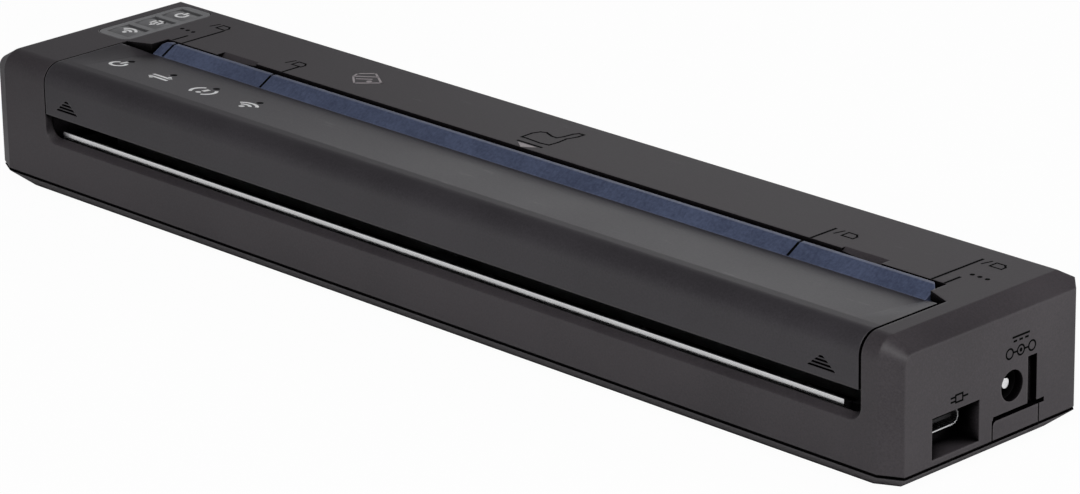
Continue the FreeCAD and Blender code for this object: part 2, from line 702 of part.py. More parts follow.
# Along Z
D.cover_low = TOP - D.cover_height
D.recess_low = TOP - D.recess_set
D.arrow_low = TOP - D.arrow_set
D.pivot_z = TOP - D.pivot_drop
D.cheek_low = TOP - D.cheek_height
D.frame_lower = TOP - D.frame_front_set
D.platen_z = TOP - D.platen_drop
D.sink_low = D.platen_z - D.sink_drop
D.head_pivot_z = D.platen_z - D.head_pivot_drop
D.frame_end_top = D.platen_z - D.frame_end_set
D.frame_nose_top = TOP - D.nose_drop
D.tear_top = TOP - D.tear_drop
D.tear_low = D.tear_top - D.tear_height
D.guide_low = D.platen_z - D.guide_drop
PIVOT = (D.pivot_y, D.pivot_z)
PLATEN = (D.platen_y, D.platen_z)
HEAD_PIVOT = (D.head_pivot_y, D.head_pivot_z)

# The idler sits on a 3-4-5 slope from the platen, the motor level with the idler.
NEAR_RUN = (D.platen_teeth + D.small_teeth) * D.tooth_module / 2 + D.gear_play
FAR_RUN = (D.large_teeth + D.pinion_teeth) * D.tooth_module / 2 + D.gear_play
IDLER = (D.platen_y + NEAR_RUN * 0.6, D.platen_z - NEAR_RUN * 0.8)
MOTOR = (IDLER[0] + FAR_RUN, IDLER[1])
D.plate_front = D.platen_y + D.plate_front_set
D.plate_rear = MOTOR[0] + D.plate_rear_reach
D.plate_top = MOTOR[1] + D.plate_rise
# Planes of gears, from the frame's left wall outwards
WHEEL_RIGHT = D.frame_left - D.cover_gap
WHEEL_LEFT = WHEEL_RIGHT - D.wheel_width
PINION_RIGHT = WHEEL_LEFT - D.wheel_gap
PINION_LEFT = PINION_RIGHT - D.pinion_width
PLATE_RIGHT = PINION_LEFT - D.plate_gap
PLATE_LEFT = PLATE_RIGHT - D.plate_wall
D.shaft_left = WHEEL_LEFT

CORNERS = (("front_left", -1, -1), ("front_right", 1, -1), ("rear_left", -1, 1), ("rear_right", 1, 1))


def corner_places(what):
    """Places of the rear screws or the four feet, each set in from the end and the side of its corner."""
    spots = []
    for corner, side_x, side_y in CORNERS[2:] if what == "screw" else CORNERS:
        inset_x = getattr(D, "%s_%s_x" % (corner, what))
        inset_y = getattr(D, "%s_%s_y" % (corner, what))
        spots.append((side_x * (HALF_LENGTH - inset_x), side_y * (HALF_DEPTH - inset_y)))
    return spots


# Housing
def plan(inset_x, inset_y):
    """The housing's outline from above with its four corner bevels."""
    x, y = HALF_LENGTH - inset_x, HALF_DEPTH - inset_y
    front = (D.end_bevel_run, D.front_corner_set)
    rear = (D.rear_corner_run, D.rear_corner_set)
    return [(-x + front[0], -y), (x - front[0], -y), (x, -y + front[1]), (x, y - rear[1]),
            (x - rear[0], y), (-x + rear[0], y), (-x, y - rear[1]), (-x, -y + front[1])]


def corner_cutters(x, y, run, step, side_x, side_y):
    """The outline that bevels one upright corner."""
    far_x, far_y = side_x * (x + run), side_y * (y + step)
    return [(side_x * (x - run), side_y * y), (side_x * x, side_y * (y - step)),
            (far_x, side_y * (y - step)), (far_x, far_y), (side_x * (x - run), far_y)]


# The front rounding shrinks to this share of its radius where an end's bevel meets the end face
END_ROUND_SHARE = 0.5


def case_profile(y, low, top, round_front, step, drop):
    """The housing from its end; step and drop draw in its front and its top, and the rear bevel stays."""
    rear = D.rear_bevel_set - D.rear_bevel_set * drop / D.rear_bevel_drop
    return [(-y + step, low), (y, low), (y, top - D.rear_bevel_drop), (y - rear, top - drop),
            (-y + step, top - drop, round_front)]


def case_block(name, inset, low):
    """The housing's outer form, or its hollow when inset by the wall. Each end has one bevel that
    follows the front edge, the rounding and the top edge."""
    x, y, top = HALF_LENGTH - inset, HALF_DEPTH - inset, TOP - inset
    run, bend = D.end_bevel_run, D.front_round - inset
    whole = case_profile(y, low, top, bend, as_size(0), as_size(0))
    slim = case_profile(y, low, top, bend * END_ROUND_SHARE, D.front_corner_set, D.end_bevel_drop)
    body = Body(name).pad("YZ", [whole], -x + run, x - run)
    body.loft("YZ", (whole, x - run), (slim, x))
    body.loft("YZ", (slim, -x), (whole, -x + run))
    corners = [corner_cutters(x, y, D.rear_corner_run, D.rear_corner_set, side_x, 1) for side_x in (-1, 1)]
    body.pocket("XY", corners, low - D.overrun, top + D.overrun)
    return body.item


def cover_opening():
    """The opening in the top: cover, finger notches, strip and feed slot."""
    slot_rear = D.strip_rear + D.slot_narrow
    middle_rear = D.strip_rear + D.slot_wide
    strip_half = D.strip_width / 2 + D.strip_end_gap
    inner, outer = (D.scallop_centre - D.scallop_width / 2, D.scallop_centre + D.scallop_width / 2)
    centre = D.print_centre
    outline = [(OPENING_LEFT, -HALF_DEPTH - D.overrun), (OPENING_RIGHT, -HALF_DEPTH - D.overrun),
               (OPENING_RIGHT, D.notch_tip), (centre + strip_half, D.notch_inner),
               (centre + strip_half, slot_rear), (centre + outer, slot_rear),
               (centre + inner, middle_rear), (centre - inner, middle_rear),
               (centre - outer, slot_rear), (centre - strip_half, slot_rear),
               (centre - strip_half, D.notch_inner), (OPENING_LEFT, D.notch_tip)]
    low = D.cover_low - D.cover_gap
    return Body("cover_opening").pad("XY", [outline], low, TOP + D.overrun).item


def exit_cutter():
    """The paper exit below the cover; its lip rises inwards."""
    slope = D.recess_rise / D.case_wall
    faces = []
    for y in (-HALF_DEPTH - D.overrun, -HALF_DEPTH + D.case_wall + D.overrun):
        low = D.recess_low + slope * (y + HALF_DEPTH)
        edges = rectangle((OPENING_LEFT, OPENING_RIGHT), (low, TOP * 1.2), D.recess_corner)
        faces.append((edges, y))
    return Body("exit_cutter").loft("XZ", faces[0], faces[1]).item


def scallop_cutters():
    """Sloping dips where a finger lifts the paper."""
    near, far = D.strip_rear, D.strip_rear + D.slot_wide + D.scallop_set / 2
    outline = [(near, TOP - D.scallop_drop), (far, TOP), (far, TOP + D.overrun), (near, TOP + D.overrun)]
    cutters = []
    for side in (-1, 1):
        x = around(D.print_centre + side * D.scallop_centre, D.scallop_width)
        cutters.append(Body("scallop").pad("YZ", [outline], x[0], x[1]).item)
    return cutters


def upright(name, place, radius, z):
    return rod(name, "Z", place, radius, z)


def block(name, place, half, z):
    """A square post."""
    return box(name, around(place[0], half * 2), around(place[1], half * 2), z)


def cheeks():
    y = (-HALF_DEPTH + D.case_wall * 0.9, D.cheek_rear)
    z = (D.cheek_low, INNER_TOP + D.case_wall * 0.1)
    left = OPENING_LEFT - D.cheek_set
    right = OPENING_RIGHT + D.cheek_set
    return [box("left_cheek", (left - D.cheek_wall, left), y, z),
            box("right_cheek", (right, right + D.cheek_wall), y, z)]


def hinge_span(side):
    """One hinge pin, from the outer face of its cheek to the inner face of its ear."""
    reach = D.cheek_set + D.cheek_wall
    inner = D.frame_inset + D.ear_wall + D.cheek_set * 0.7
    if side < 0:
        return OPENING_LEFT - reach, COVER_LEFT + inner
    return COVER_RIGHT - inner, OPENING_RIGHT + reach


def socket_box(name, extra, x):
    return box(name, x, around(D.socket_y, D.socket_width + extra),
               around(D.socket_z, D.socket_height + extra))


def shell_outline(extra):
    """The rounded outline of the USB shell, grown or shrunk."""
    width, height = D.shell_width + extra, D.shell_height + extra
    return rectangle(around(D.socket_y, width), around(D.shell_z, height), height * 0.48)


def catch(name, side, play):
    """The rib of a front catch on the tongue at one end, or its groove when grown by the play."""
    face = HALF_LENGTH - D.case_wall - D.tongue_gap
    x = (side * (face - D.tongue_wall * 0.5), side * (face + D.catch_reach + play))
    front = -HALF_DEPTH + D.front_corner_set + D.case_wall + D.tongue_wall
    middle = PARTING + D.tongue_height * 0.6
    return box(name, x if side > 0 else (x[1], x[0]), (front - play, front + D.catch_length + play),
               around(middle, D.catch_height + play * 2))


def make_upper_case():
    outer = case_block("case_outer", as_size(0), PARTING)
    hollow = case_block("case_hollow", D.case_wall, PARTING - D.overrun)
    shell = cut("case_shell", outer, [hollow, cover_opening(), exit_cutter()] + scallop_cutters())
    adds = [shell] + cheeks()
    for place in corner_places("screw"):
        radius = D.screw_radius + D.boss_wall * 0.9
        adds.append(block("case_boss", place, radius, (PARTING, PARTING + D.screw_length * 0.9)))
        adds.append(box("boss_web", around(place[0], D.boss_wall * 0.6),
                        (place[1], HALF_DEPTH - D.case_wall * 0.9),
                        (PARTING + D.tongue_height * 1.3, PARTING + D.screw_length * 0.9)))
    back = HALF_LENGTH - D.socket_depth
    adds.append(socket_box("socket_walls", D.socket_wall * 2,
                           (back - D.socket_wall, HALF_LENGTH - D.case_wall * 0.5)))
    for side in (-1, 1):
        place = (D.panel_x, D.panel_y + side * D.button_board_length * 0.4625)
        adds.append(block("board_post", place, D.button_board_length * 0.0375,
                            (button_board_top(), INNER_TOP + D.case_wall * 0.03)))
    solid = fuse("case_with_bosses", adds)
    cutters = [catch("catch_groove", side, D.catch_play) for side in (-1, 1)]
    for place in corner_places("screw"):
        depth = (PARTING - D.overrun, PARTING + D.screw_length * 0.84)
        cutters.append(upright("pilot", place, D.screw_radius + D.press_play, depth))
    for side in (-1, 1):
        cutters.append(rod("pin_hole", "X", PIVOT, D.pin_radius + D.press_play, hinge_span(side)))
    cutters.append(socket_box("socket_recess", as_size(0), (back, HALF_LENGTH + D.overrun)))
    cutters.append(Body("shell_hole").pad("YZ", [shell_outline(D.panel_play * 2)],
                                          back - D.socket_wall * 2, back + D.overrun).item)
    jack = (D.jack_y, D.jack_z)
    ends = (HALF_LENGTH - D.case_wall * 2, HALF_LENGTH + D.overrun)
    cutters.append(rod("jack_hole", "X", jack, D.jack_bore, ends))
    face = (HALF_LENGTH - D.channel_depth, HALF_LENGTH + D.overrun)
    slit = (D.tab_top, D.tab_top + D.channel_slit)
    cutters.append(box("upright_channel", face, around(D.channel_y, D.channel_width),
                       (D.tab_top, D.channel_top)))
    cutters.append(box("level_channel", face, (D.tab_front, D.channel_end), slit))
    tab = (D.tab_front - D.door_gap, D.tab_rear + D.door_gap)
    cutters.append(box("tab_slot", ends, tab, (PARTING - D.overrun, D.tab_top + D.door_gap)))
    panel = rectangle(around(D.panel_x, D.panel_width + D.panel_play * 2),
                      around(D.panel_y, D.panel_length + D.panel_play * 2), D.panel_round)
    cutters.append(Body("panel_hole").pad("XY", [panel], INNER_TOP - D.overrun,
                                          TOP + D.overrun).item)
    return finish("upper_case", cut("upper_case_solid", solid, cutters))


def door_outline(extra):
    """The battery door from above, with the tongue at its right end."""
    left, right, end = D.door_left - extra, D.door_right + extra, HALF_LENGTH + D.overrun
    front, rear = D.door_front - extra, D.door_rear + extra
    tongue = (D.tab_front - extra, D.tab_rear + extra)
    step = D.door_right - extra
    return [(left, front), (step, front), (step, tongue[0]), (end, tongue[0]), (end, tongue[1]),
            (right, tongue[1]), (right, rear), (left, rear)]


def base_shell():
    """The lower case without its openings; the battery door takes its end piece from it."""
    run, step = D.base_bevel_run, D.base_bevel_set
    ring = PARTING - D.shadow_height
    outer = Body("base_outer")
    outer.loft("XY", (plan(run, step), D.foot_lift), (plan(as_size(0), as_size(0)), ring))
    outer.pad("XY", [plan(D.shadow_depth, D.shadow_depth)], ring, PARTING)
    rim = D.case_wall + D.tongue_gap + D.tongue_wall
    inner = Body("base_hollow").loft("XY", (plan(run, step), FLOOR), (plan(rim, rim), PARTING))
    inner.pad("XY", [plan(rim, rim)], PARTING, PARTING + D.overrun)
    return cut("base_shell", outer.item, [inner.item])


def latch_places():
    """Latches of the inner frame, and last the one of the gear plate's foot."""
    left, right = D.frame_left + D.frame_wall * 8, D.frame_right - D.frame_wall * 8
    front = D.frame_nose + D.frame_wall * 3
    spots = [(left, front), (right, front)]
    spots.append((PLATE_RIGHT + D.plate_foot * 0.5, D.plate_rear - D.plate_foot))
    return spots


def latch(place, wall):
    """A hook that rises from the floor and reaches over a plate of that wall."""
    x, y = place
    low, seat = FLOOR - D.floor_wall * 0.5, FLOOR + wall + D.pin_play
    side = [(y - D.latch_wall, low), (y, low), (y, seat), (y + D.latch_reach, seat),
            (y, seat + D.latch_height), (y - D.latch_wall, seat + D.latch_height)]
    span = around(x, D.latch_length)
    return Body("frame_latch").pad("YZ", [side], span[0], span[1]).item


def latch_slot(place):
    """The slot's two ranges; in front of the stem it has room for the nose to pass."""
    x, y = place
    return (around(x, D.latch_length + D.latch_gap * 2),
            (y - D.latch_wall - D.latch_reach - D.latch_gap, y + D.latch_gap))


def make_lower_case(shell):
    seat = D.case_wall + D.tongue_gap
    rim = seat + D.tongue_wall
    tongue = Body("base_tongue").pad("XY", [plan(seat, seat)], PARTING, PARTING + D.tongue_height)
    tongue.pocket("XY", [plan(rim, rim)], PARTING, PARTING + D.tongue_height)
    gate = (D.socket_y - D.socket_width * 0.65, D.channel_end + D.overrun)
    side = (HALF_LENGTH - D.case_wall * 4, HALF_LENGTH)
    notch = box("tongue_notch", side, gate, (PARTING, PARTING + D.tongue_height * 2))
    adds = [shell, cut("tongue_ring", tongue.item, [notch])]
    adds += [catch("front_catch", side, as_size(0)) for side in (-1, 1)]
    for place in corner_places("screw"):
        adds.append(block("base_boss", place, D.screw_head + D.floor_wall * 0.3,
                          (D.foot_lift + D.floor_wall * 0.6, PARTING)))
    for y in (D.port_board_front + D.stand_off * 1.4, D.jack_y - D.jack_width * 0.9):
        place = (D.port_board_left + D.stand_off * 2, y)
        adds.append(block("port_post", place, D.stand_off, (FLOOR - D.floor_wall * 0.5, D.port_board_low)))
    for index, place in enumerate(latch_places()):
        adds.append(latch(place, D.plate_wall if index == 2 else D.frame_wall))
    solid = fuse("base_with_bosses", adds)
    under = D.foot_lift - D.overrun
    cutters = [Body("door_opening").pad("XY", [door_outline(D.door_gap)], under,
                                        PARTING + D.tongue_height * 2).item]
    head_top = D.foot_lift + D.screw_sink + D.screw_head_height
    for place in corner_places("screw"):
        cutters.append(upright("counterbore", place, D.screw_head + D.foot_play * 2,
                               (under, head_top)))
        cutters.append(upright("screw_hole", place, D.screw_radius + D.pin_play,
                               (under, PARTING + D.overrun)))
    for place in corner_places("foot"):
        cutters.append(block("foot_recess", place, D.foot_half + D.foot_play, (under, D.foot_height)))
    return finish("lower_case", cut("lower_case_solid", solid, cutters))


def make_battery_door(shell):
    width = (D.tab_front, D.tab_rear)
    end_box = box("door_end_box", (D.door_right, HALF_LENGTH), width, (0 * TOP, PARTING))
    end = common("door_end", [shell, end_box])
    plate = box("door_plate", (D.door_left, D.door_right), (D.door_front, D.door_rear),
                (D.foot_lift, FLOOR))
    tab = Body("door_tab")
    inner = HALF_LENGTH - D.tab_wall
    tab.pad("YZ", [[(width[0], PARTING), (width[1], PARTING), (width[1], D.tab_top),
                    (width[0], D.tab_top, D.tab_round)]], inner, HALF_LENGTH)
    parts = [plate, end, tab.item]
    lift = FLOOR + D.hook_gap
    for share in (0.2, 0.8):
        y = around(D.door_front + (D.door_rear - D.door_front) * share, D.hook_width)
        z = (lift, lift + D.hook_wall)
        parts.append(box("hook_root", (D.door_left, D.door_left + D.hook_wall), y, (FLOOR, z[1])))
        parts.append(box("hook", (D.door_left - D.hook_reach, D.door_left + D.hook_wall), y, z))
    solid = fuse("door_with_hooks", parts)
    grips = Body("grip_grooves")
    y = (D.tab_front + D.grip_pitch, D.tab_rear - D.grip_pitch)
    outlines = []
    for x in row(D.door_right + D.grip_pitch * 2, D.grip_pitch, D.grip_count):
        outlines.append(rectangle(around(x, D.grip_width), y))
    grips.pad("XY", outlines, D.foot_lift - D.overrun, D.foot_lift + D.grip_depth)
    return finish("battery_door", cut("door_solid", solid, [grips.item]))


# Release cover
def cover_top(y):
    """Height of the cover's sloping top at a place behind its level land."""
    start = -HALF_DEPTH + D.front_round + D.cover_flat
    return TOP - D.cover_dip * (y - start) / (D.cover_rear - start)


def triangle_stripes(middle):
    """Level stripes that fill a triangle pointing up."""
    stripes = []
    count = int(D.arrow_stripes.number)
    for index in range(count):
        edges = []
        for share in (index / count, (index + 0.6) / count):
            edges.append((D.arrow_width / 2 * (1 - share), D.arrow_low + D.arrow_height * share))
        (wide, low), (slim, high) = edges
        stripes.append([(middle - wide, low), (middle + wide, low), (middle + slim, high),
                        (middle - slim, high)])
    return stripes


def lamp_places():
    return [D.lamp_first + D.lamp_pitch * index for index in range(int(D.lamp_count.number))]


def cover_side(dip):
    """The release cover from its end, with a top that falls by dip towards the rear."""
    front, rear, wall = FRONT, D.cover_rear, D.cover_wall
    land = front + D.front_round + D.cover_flat
    return [(front, D.cover_low), (front, TOP, D.front_round), (land, TOP),
            (rear, TOP - dip), (rear, TOP - dip - wall), (land, TOP - wall),
            (front + wall, TOP - wall, D.front_round - wall), (front + wall, D.cover_low)]


def make_release_cover():
    """Between the strip's ends the top dips to the strip; past them it rises to the housing's top."""
    front, rear = FRONT, D.cover_rear
    dipped, level = cover_side(D.cover_dip), cover_side(as_size(0))
    body = Body("cover_panel").pad("YZ", [dipped], STRIP_LEFT, STRIP_RIGHT)
    body.loft("YZ", (level, COVER_LEFT), (dipped, STRIP_LEFT))
    body.loft("YZ", (dipped, STRIP_RIGHT), (level, COVER_RIGHT))
    run, step, past = D.cover_corner_run, D.cover_corner_set, D.overrun
    corners = [[(COVER_RIGHT - run, rear), (COVER_RIGHT, rear - step), (COVER_RIGHT + past, rear - step),
                (COVER_RIGHT + past, rear + past), (COVER_RIGHT - run, rear + past)],
               [(COVER_LEFT + run, rear), (COVER_LEFT, rear - step), (COVER_LEFT - past, rear - step),
                (COVER_LEFT - past, rear + past), (COVER_LEFT + run, rear + past)]]
    body.pocket("XY", corners, D.cover_low, TOP + past)
    holes = [(x, D.lamp_y, D.lamp_hole) for x in lamp_places()]
    body.pocket("XY", holes, INNER_TOP - D.cover_dip, TOP + past)
    stripes = triangle_stripes(D.arrow_left) + triangle_stripes(D.arrow_right)
    body.pocket("XZ", stripes, front - past, front + D.arrow_depth)
    return finish("release_cover", body)


def make_strip():
    front = D.cover_rear + D.strip_seat_gap
    rear, low = D.strip_rear, TOP - D.cover_dip - D.strip_wall * 1.15
    side = [(front, low), (rear - D.strip_wall * 1.3, low), (rear, TOP - D.strip_lip), (rear, TOP),
            (rear - D.strip_land, TOP), (front, TOP - D.cover_dip)]
    left, right = around(D.print_centre, D.strip_width)
    body = Body("strip").pad("YZ", [side], left, right)
    cuts = []
    for side_x, x in ((-1, left), (1, right)):
        inner, outer = x - side_x * D.strip_corner, x + side_x * D.overrun
        cuts.append([(inner, rear), (x, rear - D.strip_corner), (outer, rear - D.strip_corner),
                     (outer, rear + D.overrun), (inner, rear + D.overrun)])
    body.pocket("XY", cuts, low - D.overrun, TOP + D.overrun)
    return finish("paper_guide_strip", body)


# An end cut with flats round a hole: its corners lie at these shares of its radius
FLAT_SHARES = (0.92, 0.38)


def lower_end(centre, radius):
    """The lower corners of such an end, from the front to the rear."""
    wide, slim = radius * FLAT_SHARES[0], radius * FLAT_SHARES[1]
    y, z = centre
    return [(y - wide, z - slim), (y - slim, z - wide), (y + slim, z - wide), (y + wide, z - slim)]


def hanger(name, centre, radius, front, top, x):
    """A flat web that hangs from the cover frame and ends round a hole."""
    low = lower_end(centre, radius)
    side = [(front, top), (front, centre[1] + radius * FLAT_SHARES[0]), (low[0][0], centre[1])] + low
    side.append((low[3][0], top))
    return Body(name).pad("YZ", [side], x[0], x[1]).item


def make_cover_frame():
    front, wall, skin = -HALF_DEPTH + D.cover_wall, D.cover_wall, D.frame_skin
    land = -HALF_DEPTH + D.front_round + D.cover_flat
    bend = D.front_round - wall
    rear = D.cover_rear - D.frame_rear_gap
    rear_top = cover_top(rear) - wall
    side = [(front, D.frame_lower), (front, INNER_TOP + D.case_wall - wall - bend * 1.08),
            (front + bend * 1.08, TOP - wall), (land, TOP - wall), (rear, rear_top),
            (rear, rear_top - skin), (land, TOP - wall - skin),
            (front + bend * 1.08 + skin * 0.3, TOP - wall - skin),
            (front + D.frame_front, TOP - wall - bend * 1.2), (front + D.frame_front, D.frame_lower)]
    left, right = COVER_LEFT + D.frame_inset, COVER_RIGHT - D.frame_inset
    body = Body("frame_plate").pad("YZ", [side], left, right)
    lamps = lamp_places()
    window = rectangle((lamps[0] - D.ear_radius, lamps[-1] + D.ear_radius),
                       around(D.lamp_y, D.ear_radius * 2))
    reach = D.tooth_module * (D.platen_teeth + 2) / 2
    gear_window = rectangle((WHEEL_LEFT - D.wheel_gap * 2, WHEEL_RIGHT + D.wheel_gap),
                            around(D.platen_y, reach * 1.3))
    body.pocket("XY", [window, gear_window], D.frame_lower, TOP)
    corners = []
    for side_x, x in ((-1, COVER_LEFT), (1, COVER_RIGHT)):
        run = D.cover_corner_run * 1.1
        corners.append([(x - side_x * run, rear), (x, rear - D.cover_corner_set * 1.1),
                        (x + side_x * D.overrun, rear - D.cover_corner_set * 1.1),
                        (x + side_x * D.overrun, rear + D.overrun), (x - side_x * run, rear + D.overrun)])
    body.pocket("XY", corners, D.frame_lower, TOP)
    parts = [body.item]
    for x in ((left, left + D.ear_wall), (right - D.ear_wall, right)):
        parts.append(hanger("ear", PIVOT, D.ear_radius, D.pivot_y - D.ear_radius * 0.55,
                            INNER_TOP - D.frame_skin, x))
    for x in ((D.arm_left, D.arm_left + D.arm_wall), (D.arm_right - D.arm_wall, D.arm_right)):
        top = cover_top(D.platen_y + D.arm_foot) - D.cover_wall - D.frame_skin * 0.5
        parts.append(hanger("arm", PLATEN, D.arm_foot, D.platen_y - D.arm_foot * 0.9, top, x))
    solid = fuse("frame_with_arms", parts)
    cutters = [rod("ear_bores", "X", PIVOT, D.pin_radius + D.pin_play, (left - wall, right + wall)),
               rod("arm_bores", "X", PLATEN, D.bush_radius, (left - wall, right + wall))]
    return finish("cover_frame", cut("cover_frame_solid", solid, cutters))


def make_platen_bushes():
    bushes = []
    sides = ((1, D.arm_left, D.arm_left + D.arm_wall), (-1, D.arm_right, D.arm_right - D.arm_wall))
    for side, outer, inner in sides:
        span = (outer, inner) if side > 0 else (inner, outer)
        edge = inner + side * D.bush_flange_wall
        flange = (inner, edge) if side > 0 else (edge, inner)
        whole = (span[0], flange[1]) if side > 0 else (flange[0], span[1])
        solid = fuse("bush_solid", [rod("bush", "X", PLATEN, D.bush_radius - D.pin_play * 0.7, span),
                                    box("bush_flange", flange, around(D.platen_y, D.bush_flange * 2),
                                        around(D.platen_z, D.bush_flange * 2))])
        bore = rod("bush_bore", "X", PLATEN, D.shaft_radius + D.pin_play,
                   (whole[0] - D.overrun, whole[1] + D.overrun))
        bushes.append(cut("bush_pair", solid, [bore]))
    return finish("platen_bushes", group("bushes", bushes))


def lamp_levels():
    """Underside of the lenses and top of the indicator board."""
    lens_low = cover_top(D.lamp_y) - D.cover_wall - D.frame_skin * 0.5
    return lens_low, lens_low - D.frame_skin * 0.75


def make_indicators():
    lens_low, board_top = lamp_levels()
    lamps = lamp_places()
    lenses = []
    blocks = []
    for x in lamps:
        place = (x, D.lamp_y)
        stem = upright("lens_stem", place, D.lamp_hole - D.lamp_play, (lens_low, cover_top(D.lamp_y)))
        foot = block("lens_foot", place, D.lamp_hole * 1.6, (lens_low, lens_low + D.frame_skin * 0.3))
        lenses.append(fuse("lens", [stem, foot]))
        blocks.append(box("led", around(x, D.lamp_hole * 2), around(D.lamp_y, D.lamp_hole * 1.6),
                          (board_top, lens_low - D.lamp_play)))
    finish("indicator_lenses", group("lenses", lenses))
    finish("indicator_lamps", group("leds", blocks))
    edge = D.ear_radius
    board = box("lamp_board", (lamps[0] - edge, lamps[-1] + edge * 2),
                (D.lamp_y - edge * 2, D.lamp_y + edge * 0.8), (board_top - D.frame_skin * 0.6, board_top))
    finish("indicator_board", board)


# Platen roller and gears
def involute(angle):
    return math.tan(angle) - angle


def tooth_points(teeth):
    """Half of one tooth as (radius, half angle), from its root to its tip."""
    module = D.tooth_module.number
    pitch = teeth * module / 2
    base = pitch * math.cos(PRESSURE_ANGLE)
    root, tip = pitch - module * ROOT_SHARE, pitch + module * TIP_SHARE
    half = math.pi / (2 * teeth) - D.tooth_thinning.number / (2 * pitch) + involute(PRESSURE_ANGLE)
    start = max(base, root)
    radii = [root] + [start + (tip - start) * share for share in FLANK_SHARES]
    return [(radius, half - involute(math.acos(min(1, base / radius)))) for radius in radii]


PRESSURE_ANGLE = math.radians(20)
ROOT_SHARE = 1.2
TIP_SHARE = 0.95
FLANK_SHARES = (0.45, 1)


def gear_solid(teeth, centre, span, first_tooth):
    """A spur gear; first_tooth is the angle of one tooth's middle in the YZ plane."""
    teeth = int(teeth.number)
    flank = tooth_points(teeth)
    points = []
    for index in range(teeth):
        middle = first_tooth + 2 * math.pi * index / teeth
        for radius, half in flank:
            points.append((radius, middle - half))
        for radius, half in reversed(flank):
            points.append((radius, middle + half))
    y, z = centre[0].number, centre[1].number
    corners = [FreeCAD.Vector(span[0].number, y + radius * math.cos(angle), z + radius * math.sin(angle))
               for radius, angle in points]
    corners.append(corners[0])
    face = Part.Face(Part.makePolygon(corners))
    return face.extrude(FreeCAD.Vector(span[1].number - span[0].number, 0, 0))


def gear(name, teeth, centre, span, first_tooth):
    """Teeth have no sketch of their own, so the wheel's shape is computed."""
    item = doc.addObject("Part::Feature", name)
    item.Shape = gear_solid(teeth, centre, span, first_tooth)
    return item


def turned(teeth, direction, gap):
    """The angle of a tooth when a tooth, or a gap, points in a direction."""
    return direction + (math.pi / teeth.number if gap else 0)


def make_platen():
    shaft = rod("shaft", "X", PLATEN, D.shaft_radius, (D.shaft_left, D.shaft_right))
    finish("platen_shaft", shaft)
    span = (D.rubber_start, D.rubber_end)
    past = (span[0] - D.overrun, span[1] + D.overrun)
    finish("platen_rubber", cut("rubber", rod("rubber_bar", "X", PLATEN, D.platen_radius, span),
                                [rod("rubber_bore", "X", PLATEN, D.shaft_radius + D.press_play, past)]))
    down = math.atan2(-0.8, 0.6)
    wheel = gear("platen_wheel", D.platen_teeth, PLATEN, (WHEEL_LEFT, WHEEL_RIGHT),
                 turned(D.platen_teeth, down, False))
    bore = rod("wheel_bore", "X", PLATEN, D.shaft_radius + D.press_play,
               (WHEEL_LEFT - D.overrun, WHEEL_RIGHT + D.overrun))
    finish("platen_gear", cut("platen_gear_solid", wheel, [bore]))


def make_idler():
    up = math.atan2(0.8, -0.6)
    small = gear("small_wheel", D.small_teeth, IDLER, (WHEEL_LEFT, WHEEL_RIGHT),
                 turned(D.small_teeth, up, True))
    large = gear("large_wheel", D.large_teeth, IDLER, (PINION_LEFT, PINION_RIGHT),
                 turned(D.large_teeth, 0, False))
    hub = rod("idler_hub", "X", IDLER, D.post_radius * 2.8, (PINION_LEFT, WHEEL_RIGHT))
    bore = rod("idler_bore", "X", IDLER, D.post_radius + D.pin_play,
               (PINION_LEFT - D.overrun, WHEEL_RIGHT + D.overrun))
    finish("idler_gear", cut("idler", fuse("idler_solid", [small, large, hub]), [bore]))
    post = rod("post", "X", IDLER, D.post_radius, (PLATE_LEFT, D.frame_left + D.frame_end_wall))
    finish("gear_post", post)


def make_motor():
    pinion = gear("pinion", D.pinion_teeth, MOTOR, (PINION_LEFT, PINION_RIGHT),
                  turned(D.pinion_teeth, math.pi, True))
    inner = PLATE_LEFT - D.motor_bush * 0.9
    axle = rod("motor_axle", "X", MOTOR, D.motor_shaft, (inner, PINION_RIGHT))
    finish("motor_pinion", fuse("pinion_on_axle", [pinion, axle]))
    can = rod("can", "X", MOTOR, D.motor_radius, (PLATE_LEFT - D.motor_length, PLATE_LEFT))
    bush = rod("motor_front_bush", "X", MOTOR, D.motor_bush, (PLATE_LEFT, PLATE_RIGHT))
    bore = rod("motor_bore", "X", MOTOR, D.motor_shaft + D.pin_play,
               (inner - D.pin_play, PLATE_RIGHT + D.overrun))
    finish("motor_can", cut("motor", fuse("motor_solid", [can, bush]), [bore]))


def make_gear_plate():
    front, rear, top = D.plate_front, D.plate_rear, D.plate_top
    side = [(front, IDLER[1] - D.wheel_width * 2), (IDLER[0], FLOOR), (rear - D.wheel_width * 0.5, FLOOR),
            (rear, FLOOR + D.wheel_width), (rear, top - D.wheel_width), (rear - D.wheel_width, top),
            (IDLER[0] + D.wheel_width * 3, top), (front, IDLER[1] + D.wheel_width * 2)]
    body = Body("gear_plate_body").pad("YZ", [side], PLATE_LEFT, PLATE_RIGHT)
    holes = [(IDLER[0], IDLER[1], D.post_radius + D.press_play),
             (MOTOR[0], MOTOR[1], D.motor_bush + D.press_play)]
    body.pocket("YZ", holes, PLATE_LEFT - D.overrun, PLATE_RIGHT + D.overrun)
    place = latch_places()[-1]
    slot = latch_slot(place)
    foot = Body("gear_plate_foot")
    outline = rectangle((PLATE_LEFT, PLATE_RIGHT + D.plate_foot), around(place[1], D.plate_foot * 1.6))
    foot.pad("XY", [outline, rectangle(slot[0], slot[1])], FLOOR, FLOOR + D.plate_wall)
    finish("gear_plate", fuse("gear_plate_solid", [body.item, foot.item]))


